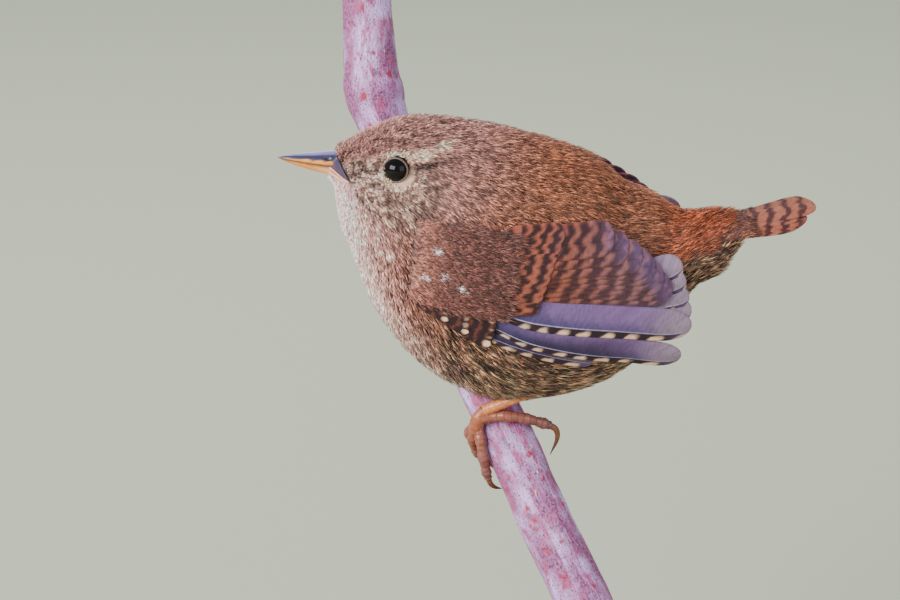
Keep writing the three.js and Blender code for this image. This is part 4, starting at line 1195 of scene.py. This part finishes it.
def gape(side, drop, radius, colour):
    """A fleshy rim of the mouth's corner, laid on the cheek behind the bill."""
    x = np.linspace(-37.4, CORNER_X - 0.1, 8)
    z = np.linspace(18.65, CORNER_Z + 0.2, 8) - drop
    y = side * (np.maximum(body_half_width(x, z), 1.9) + 0.2)
    stations = np.stack([x, y, z, radius * np.linspace(1.0, 0.45, 8)], 1)
    points, faces = ring_skin(tube_rings(stations, 60, 14))
    return points, faces, np.tile(colour, (len(points), 1))


def bill_side(side):
    """The bill's bare side behind its base: a patch on the cheek that narrows to the mouth's corner,
    blue-grey above, dark along the edge of the mouth, orange under it and pink below."""
    along, down = np.linspace(0, 1, 36)[:, None], np.linspace(0, 1, 30)
    corner = np.array([CORNER_X, CORNER_Z])
    top, low = (np.array(end) + (corner - end) * along for end in (BASE_TOP, BASE_LOW))
    x, z = np.moveaxis(top[:, None] + (low - top)[:, None] * down[:, None], -1, 0)
    y = np.maximum(body_half_width(x, z), 1.85)
    upper = np.stack([x, side * (y + 0.16), z], -1)
    lower = np.stack([x, side * (y - 0.3), z], -1)
    points, faces = plate(upper, lower)
    tint = ink(64, 60, 88)
    for start, full, colour in SIDE_BANDS:
        tint = mix(tint, colour, smooth(start, full, down * np.ones_like(along)))
    tint = (tint * (0.8 + 0.4 * noise(upper, 0.3, 15))[..., None]).reshape(-1, 3)
    # The inner side carries the same bands darkened to 0.8: painted shade.
    return points, faces, np.concatenate([tint, tint * 0.8])


def ball(centre, radius, rows=48, count=64):
    """A sphere of rings closed at its poles."""
    turn = np.linspace(0.02, np.pi - 0.02, rows)[:, None]
    angle = np.linspace(0, TAU, count, endpoint=False)[None]
    x, y, z = np.sin(turn) * np.cos(angle), np.sin(turn) * np.sin(angle), np.cos(turn) * np.ones_like(angle)
    return ring_skin(np.array(centre) + radius * np.stack([x, y, z], -1))


def lids(side, centre):
    """The bare rim of the lids: a beaded ring round the eye that faces outwards and a little forwards."""
    rows, count = 120, 14
    out = unit(np.array([-0.32, side, 0.22]))
    first = unit(np.cross(out, [0, 0, 1.0]))
    second = np.cross(out, first)
    around = np.linspace(0, TAU, rows, endpoint=False)[:, None]
    section = np.linspace(0, TAU, count, endpoint=False)[None]
    radial = np.cos(around)[..., None] * first + np.sin(around)[..., None] * second
    beads = 1 + 0.1 * np.sin(around * 26)
    ring = LID_RING * (1 - 0.06 * np.abs(np.sin(around))) + LID_THICK * np.cos(section) * beads
    height = EYE_SUNK * 0.72 + LID_THICK * np.sin(section) * beads
    points = (centre + radial * ring[..., None] + out * height[..., None]).reshape(-1, 3)
    faces = grid_faces(rows + 1, count, wrap=True) % (rows * count)
    return points, outward(points, faces), np.tile(LID, (len(points), 1))


def bill_and_eyes():
    """Both mandibles, the bill's bare sides, the rims of the mouth, both eyes and their lids."""
    halves = (("bill_upper", BILL_CULMEN, 1, "bill_dark"), ("bill_lower", BILL_CHIN, -1, "bill_pale"))
    for name, root, way, slot in halves:
        joined_piece(name + "_horn", [mandible(root, way)], slot, HORN, (name,))
    joined_piece("gape_rims", [gape(side, *rim) for side in (-1, 1) for rim in GAPE_RIMS], "bill_pale", HORN)
    joined_piece("bill_sides", [bill_side(-1), bill_side(1)], "bill_dark", HORN)
    for name, side in (("left", -1), ("right", 1)):
        y = side * (float(body_half_width(EYE_X, EYE_Z)) - EYE_SUNK)
        centre = np.array([EYE_X, y, EYE_Z])
        points, faces = ball(centre, EYE_RADIUS)
        piece(f"eyeball_{name}", points, faces, "eye", EYE, (f"eye_{name}",))
        joined_piece(f"lids_{name}", [lids(side, centre)], "plumage", SCALES)


# Legs and feet

# Stations down the stem, to the right across it and out of it, and radius, from each limb's root on.
ANKLE = (-1.9, -1.1, 6.3)
PALM = [(-1.9, -1.1, 6.35, 1.0), (-1.2, -2.5, 5.9, 1.25), (-0.2, -3.8, 5.0, 1.25), (0.8, -4.6, 4.1, 1.05)]
TOES = {
    "hind": [
        (-0.9, -2.2, 5.9, 1.1), (0.8, 1.8, 5.75, 0.98), (2.4, 4.7, 4.5, 0.92), (4.2, 7.1, 2.2, 0.95),
        (4.9, 7.9, 1.4, 0.7),
    ],
    "outer": [
        (-0.2, -3.6, 4.8, 1.1), (2.4, -4.3, 4.1, 0.95), (5.4, -5.3, 2.8, 0.9), (7.9, -6.0, 1.1, 0.85),
        (8.8, -6.15, 0.4, 0.65),
    ],
    "middle": [
        (-0.2, -3.8, 4.6, 1.1), (1.5, -5.7, 2.2, 0.95), (3.6, -6.1, -0.2, 0.9), (5.4, -5.4, -2.7, 0.85),
        (6.1, -5.0, -3.6, 0.65),
    ],
    "inner": [
        (-0.4, -3.8, 4.6, 1.1), (0.0, -5.9, 1.4, 0.9), (1.2, -6.0, -1.2, 0.85), (2.2, -5.0, -3.4, 0.8),
        (2.7, -4.5, -4.1, 0.62),
    ],
}
CLAWS = {
    "hind": [(4.6, 7.6, 1.7, 0.62), (5.9, 8.5, 0.6, 0.56), (7.5, 7.9, -0.2, 0.4), (9.4, 5.6, -0.8, 0.06)],
    "outer": [
        (8.5, -6.1, 0.6, 0.58), (9.7, -6.3, -0.6, 0.5), (10.6, -5.9, -1.6, 0.34), (11.2, -5.0, -2.6, 0.06),
    ],
    "middle": [
        (5.9, -5.1, -3.4, 0.58), (7.0, -4.5, -4.7, 0.5), (7.8, -3.4, -5.5, 0.34), (8.5, -2.0, -5.6, 0.06),
    ],
    "inner": [
        (2.5, -4.6, -3.9, 0.55), (3.4, -3.8, -5.0, 0.46), (4.1, -2.6, -5.6, 0.31), (4.6, -1.2, -5.5, 0.06),
    ],
}
# Shares along the tarsus and the radius there.
TARSUS = ((0.0, 1.12), (0.12, 1.0), (0.4, 0.92), (0.7, 0.95), (1.0, 1.2))
# Each leg's grip: its height on the stem, the side of the stem it faces (1 the left), how far its toes
# stay open, and where the heel is.
GRIPS = {"left": (60.9, 1, 0.0, (6.2, -8.6, 71.6)), "right": (76.0, -1, 1.0, (4.4, 9.0, 75.2))}


def grip_points(stations, height, facing, openness):
    """Stations given down the stem, to the right across it and out of it, put round the bent stem."""
    centre, tangent, _ = along_path(STEM, 4000)
    run = path_run(centre)
    start = run[np.argmax(centre[:, 2] >= height)]
    placed = []
    for h, v, n, radius in stations:
        at = np.clip(np.searchsorted(run, start - h), 0, len(run) - 1)
        down = -tangent[at]
        out = np.array([0.0, -facing, 0.0])
        out = unit(out - down * (out @ down))
        right = np.cross(down, out)
        right = right if right[0] > 0 else -right
        turn = math.atan2(v, n)
        if turn > 0:
            turn *= 1 - 0.5 * openness
        if turn < -math.pi / 2:
            turn = -math.pi / 2 + (turn + math.pi / 2) * (1 - 0.75 * openness)
        reach = math.hypot(v, n)
        point = centre[at] + right * math.sin(turn) * reach + out * math.cos(turn) * reach
        placed.append((*point, radius))
    return placed


def scute_swell(count, depth):
    """Scales as low steps along a leg: the radius grows over each scale and drops at its edge."""

    def swell(share, angle):
        return 1 + depth * ((share * count + 0.15 * np.cos(angle)) % 1.0 - 0.5)

    return swell


def pad_swell(count):
    """A toe's pads: rounded swellings with fine rings of scales on them."""

    def swell(share, angle):
        pads = 0.10 * np.cos(share * count * 2 * np.pi)
        return 1 + pads + 0.12 * (((share * count * 3.3) % 1.0) - 0.5)

    return swell


LIMB_COUNT = 36


def limb(stations, rows, swell, near, far):
    """A limb's skin with a colour that runs from near to far, flecked by noise."""
    points, faces = ring_skin(tube_rings(stations, rows, LIMB_COUNT, swell))
    share = np.repeat(np.linspace(0, 1, rows), LIMB_COUNT)
    tint = mix(np.tile(near, (len(share), 1)), far, share)
    tint = tint * (0.75 + 0.5 * noise(points[: len(share)], 0.5, 8))[:, None]
    return points, faces, np.concatenate([tint, tint[:1], tint[-1:]])


def leg(name):
    """Tarsus, foot and claws of one leg."""
    height, facing, openness, heel = GRIPS[name]

    def placed(stations):
        return grip_points(stations, height, facing, openness)

    ankle, heel = np.array(placed([(*ANKLE, 1.0)])[0][:3]), np.array(heel)
    tarsus = [(*(ankle + (heel - ankle) * f), r) for f, r in TARSUS]
    shin = [limb(tarsus, 160, scute_swell(11, 0.12), SHIN * 0.9, SHIN)]
    foot = [limb(placed(PALM), 60, scute_swell(5, 0.08), PALE_SKIN * 0.9, WARM_SKIN)]
    foot += [limb(placed(toe), 120, pad_swell(4.0), WARM_SKIN, TOE_TIP) for toe in TOES.values()]
    claws = [limb(placed(claw), 50, None, CLAW_ROOT, CLAW_TIP) for claw in CLAWS.values()]
    nodes = tuple(f"claw_{name}_{toe}" for toe in CLAWS)
    joined_piece(f"tarsus_{name}_skin", shin, "leg_skin", SCALES, (f"tarsus_{name}",), room=True)
    joined_piece(f"foot_{name}_skin", foot, "leg_skin", SCALES, (f"foot_{name}",), room=True)
    joined_piece(f"claws_{name}", claws, "claw_horn", CLAW, nodes, room=True)


# Stem

BARK_BASE = (168, 92, 146)
# Layers over the bark's base: colour, noise scale, stretch along the stem, detail, and the two levels.
BARK_LAYERS = [
    ((92, 58, 92), 2.6, 0.7, 4, 0.48, 0.62),
    ((218, 178, 240), 0.22, 0.45, 8, 0.42, 0.65),
    ((172, 80, 128), 0.5, 0.5, 6, 0.50, 0.66),
    ((164, 40, 70), 0.45, 0.7, 5, 0.59, 0.68),
    ((112, 112, 150), 0.35, 0.9, 3, 0.66, 0.72),
    ((56, 42, 62), 3.2, 0.8, 3, 0.59, 0.65),
    ((240, 214, 190), 1.6, 0.3, 2, 0.70, 0.74),
]
# How far the bark's map runs round the stem for each radian, about the stem's radius.
BARK_ROUND = 4.7
SCAR_HEIGHT = 116.5


def stem_material():
    """Smooth mauve bark: streaks of pink and grey along it, red blotches, dark specks and pale pores."""
    material = bpy.data.materials.new("mauve_bark")
    material.use_nodes = True
    tree = material.node_tree
    place = add_node(tree, "UVMap", uv_map="bark").outputs["UV"]

    def layer(scale, stretch, detail, low, high):
        """A mask from noise stretched along the stem, cut between two levels."""
        squeeze = add_node(tree, "Mapping", {"Scale": (stretch, 1.0, 1.0)}, {"Vector": place})
        fineness, at = {"Scale": scale, "Detail": detail}, {"Vector": squeeze.outputs["Vector"]}
        pattern = add_node(tree, "TexNoise", fineness, at).outputs["Fac"]
        cut = add_node(tree, "MapRange", {"From Min": low, "From Max": high}, {"Value": pattern})
        return cut.outputs["Result"]

    colour = None
    for over, *mask in BARK_LAYERS:
        values, sources = {"B": (*ink(*over), 1.0)}, {"Factor": layer(*mask)}
        if colour is None:
            values["A"] = (*ink(*BARK_BASE), 1.0)
        else:
            sources["A"] = colour
        colour = add_node(tree, "Mix", values, sources, data_type="RGBA").outputs["Result"]
    relief = {"Strength": 0.5, "Distance": 0.0003}
    normal = add_node(tree, "Bump", relief, {"Height": layer(2.4, 0.35, 6, 0.3, 0.7)}).outputs["Normal"]
    shader = tree.nodes["Principled BSDF"]
    feed(tree, shader, {"Roughness": 0.5}, {"Base Color": colour, "Normal": normal})
    return material


def stem():
    """The cut stem: a smooth tube with low bumps, a bud scar at its swelling, and flat saw cuts."""
    rows, count = 320, 81
    centre, tangent, radius = along_path(STEM, 1400)
    keep = (centre[:, 2] >= STEM_LOWER_CUT - 3.2) & (centre[:, 2] <= STEM_UPPER_CUT + 1.2)
    pick = np.linspace(np.argmax(keep), len(keep) - 1 - np.argmax(keep[::-1]), rows).astype(int)
    centre, tangent, radius = centre[pick], tangent[pick], radius[pick]
    angle = np.linspace(0, TAU, count)
    out = ring_directions(tangent, angle)
    on_tube = centre[:, None] + out * radius[:, None, None]
    bumps = (noise(on_tube, 4.0, 21) - 0.5) * 0.35 + (noise(on_tube, 1.1, 22) - 0.5) * 0.12
    scar = np.exp(-((on_tube[..., 2] - SCAR_HEIGHT) / 1.3) ** 2) * 0.16
    rings = on_tube + out * (bumps + scar)[..., None]
    rings[..., 2] = np.clip(rings[..., 2], STEM_LOWER_CUT, STEM_UPPER_CUT)
    points, faces = ring_skin(rings, wrap=False)
    run = path_run(centre)
    uv = np.stack(np.broadcast_arrays(run[:, None], angle[None] * BARK_ROUND), -1).reshape(-1, 2)
    uv = np.concatenate([uv, [[0, 0], [run[-1], 0]]])
    bark = piece(
        "stem_bark", points, faces, "bark", stem_material(), ("perch",), uv=uv, uv_name="bark", room=True
    )
    cut_wood = painted("cut_wood", 0.7, 900, 0.4, 0.3, colour=ink(214, 186, 142))
    bark.data.materials.append(cut_wood)
    heights = points[faces][..., 2]
    cut = (heights.min(1) >= STEM_UPPER_CUT - 1e-6) | (heights.max(1) <= STEM_LOWER_CUT + 1e-6)
    cut[-2 * (count - 1):] = True
    bark.data.polygons.foreach_set("material_index", cut.astype(np.int32))
    bark.data.polygons.foreach_set("use_smooth", ~cut)


# Stand


def turned(profile, count):
    """A turned piece: a profile of radius and height carried round the z axis."""
    profile = np.array(profile, float)
    angle = np.linspace(0, TAU, count, endpoint=False)[None]
    r, z = profile[:, 0:1], profile[:, 1:2]
    return ring_skin(np.stack([r * np.cos(angle), r * np.sin(angle), z * np.ones_like(angle)], -1))


def rounded(corners, radius, steps=6):
    """A profile whose inner corners are rounded by a quadratic bend of the given size."""
    corners = [np.array(c, float) for c in corners]
    line = [corners[0]]
    for before, here, after in zip(corners, corners[1:], corners[2:]):
        a = here + (before - here) * min(0.45, radius / np.linalg.norm(before - here))
        b = here + (after - here) * min(0.45, radius / np.linalg.norm(after - here))
        for u in np.linspace(0, 1, steps):
            line.append((1 - u) ** 2 * a + 2 * u * (1 - u) * here + u * u * b)
    line.append(corners[-1])
    return line


ROD_PLACE = np.array([9.2, -9.1, 0])


def stand():
    """A turned wooden base, a steel rod with its foot, and a brass collar under the stem."""
    wood = painted("stand_wood", 0.38, 260, 0.5, 0.25, colour=ink(84, 54, 36), coat=0.3)
    steel = painted("stand_steel", 0.3, 1400, 0.1, 0.1, colour=ink(196, 198, 202), metallic=1.0)
    brass = painted("stand_brass", 0.3, 1400, 0.1, 0.1, colour=ink(206, 170, 104), metallic=1.0)
    top, low, high = STEM_LOWER_CUT - 2.2, STEM_LOWER_CUT - 1.9, STEM_LOWER_CUT - 0.3
    base = [(0.2, 0), (36.5, 0), (38, 1), (38, 5.2), (36.2, 6.2), (35.4, 8), (0.2, 8)]
    rod = [(0.1, 8.3), (4.4, 8.3), (4.4, 9.9), (3.4, 10.7), (2.2, 10.9), (2.2, top), (0.1, top)]
    collar = [(0.1, low), (4.0, low), (4.6, low + 0.6), (4.6, high), (0.1, high)]
    for name, profile, bend, count, at, material, slot, node in (
        ("base_disc", base, 0.7, 192, (0, 0, 0), wood, "stand_wood", "stand_base"),
        ("rod_steel", rod, 0.35, 96, ROD_PLACE, steel, "stand_steel", "stand_rod"),
        ("collar_brass", collar, 0.2, 96, ROD_PLACE, brass, "stand_brass", "stand_collar"),
    ):
        points, faces = turned(rounded(profile, bend), count)
        piece(name, points + np.array(at), faces, slot, material, (node,), room=True)


# Floor, light and camera

FLOOR_REACH = 12.0
SKY_STRENGTH = 0.6
# Each lamp's place in metres, its width and height, and its power.
LAMPS = (
    ("key_light", (-0.62, -0.52, 0.42), 0.75, 0.45, 15.0),
    ("fill_light", (0.5, -0.6, 0.3), 0.6, 0.6, 2.6),
    ("back_light", (-0.1, 0.55, 0.6), 0.4, 0.4, 4.5),
)
LAMP_AIM = np.array([0.0, 0.0, 0.09])


def point_at(thing, spot, aim):
    """Puts a lamp or camera at a spot and turns its -z axis to the aim."""
    thing.location = Vector(spot)
    thing.rotation_euler = Vector(aim - spot).to_track_quat("-Z", "Y").to_euler()


def studio():
    """A pale floor that runs to the horizon, a soft sky and three broad lights."""
    mesh = bpy.data.meshes.new("floor")
    corners = [(x * FLOOR_REACH, y * FLOOR_REACH, 0) for x, y in ((-1, -1), (1, -1), (1, 1), (-1, 1))]
    mesh.from_pydata(corners, [], [(0, 1, 2, 3)])
    floor = bpy.data.objects.new("floor", mesh)
    bpy.context.scene.collection.objects.link(floor)
    mesh.materials.append(painted("floor_paint", 0.9, 3, 0.02, 0.0, colour=ink(178, 184, 160)))
    world = bpy.data.worlds.new("soft_sky")
    bpy.context.scene.world = world
    world.use_nodes = True
    sky = world.node_tree.nodes["Background"]
    sky.inputs["Color"].default_value = (*ink(226, 232, 240), 1.0)
    sky.inputs["Strength"].default_value = SKY_STRENGTH
    for name, spot, wide, tall, power in LAMPS:
        data = bpy.data.lights.new(name, "AREA")
        data.shape, data.size, data.size_y, data.energy = "RECTANGLE", wide, tall, power
        lamp = bpy.data.objects.new(name, data)
        bpy.context.scene.collection.objects.link(lamp)
        point_at(lamp, np.array(spot), LAMP_AIM)


# The photograph's scale and size, and the pixel at which the origin of the bird's own frame stands.
PIXELS_PER_MM, FRAME_WIDE, FRAME_HIGH = 5.6, 900, 600
PIVOT_PIXEL = (540, 260)
ELEVATION, LENS, SENSOR = math.radians(13), 500.0, 36.0


def camera():
    """A long lens, 13 degrees above the horizon, whose frame is as wide as the photograph's at the bird."""
    data = bpy.data.cameras.new("camera")
    data.lens, data.sensor_width = LENS, SENSOR
    data.clip_start, data.clip_end = 0.1, 60
    eye = bpy.data.objects.new("camera", data)
    bpy.context.scene.collection.objects.link(eye)
    bpy.context.scene.camera = eye
    distance = FRAME_WIDE / PIXELS_PER_MM * LENS / SENSOR * MM
    x = (FRAME_WIDE / 2 - PIVOT_PIXEL[0]) / PIXELS_PER_MM * MM
    down = (PIVOT_PIXEL[1] - FRAME_HIGH / 2) / PIXELS_PER_MM * MM
    aim = np.array([x, 0.0, BIRD_HEIGHT * MM + down / math.cos(ELEVATION)])
    point_at(eye, aim + distance * np.array([0.0, -math.cos(ELEVATION), math.sin(ELEVATION)]), aim)


studio()
camera()
skin()
coat()
wing("left", -1)
wing("right", 1)
shoulder("left", -1)
shoulder("right", 1)
tail()
tail_coverts()
bill_and_eyes()
leg("left")
leg("right")
stem()
stand()
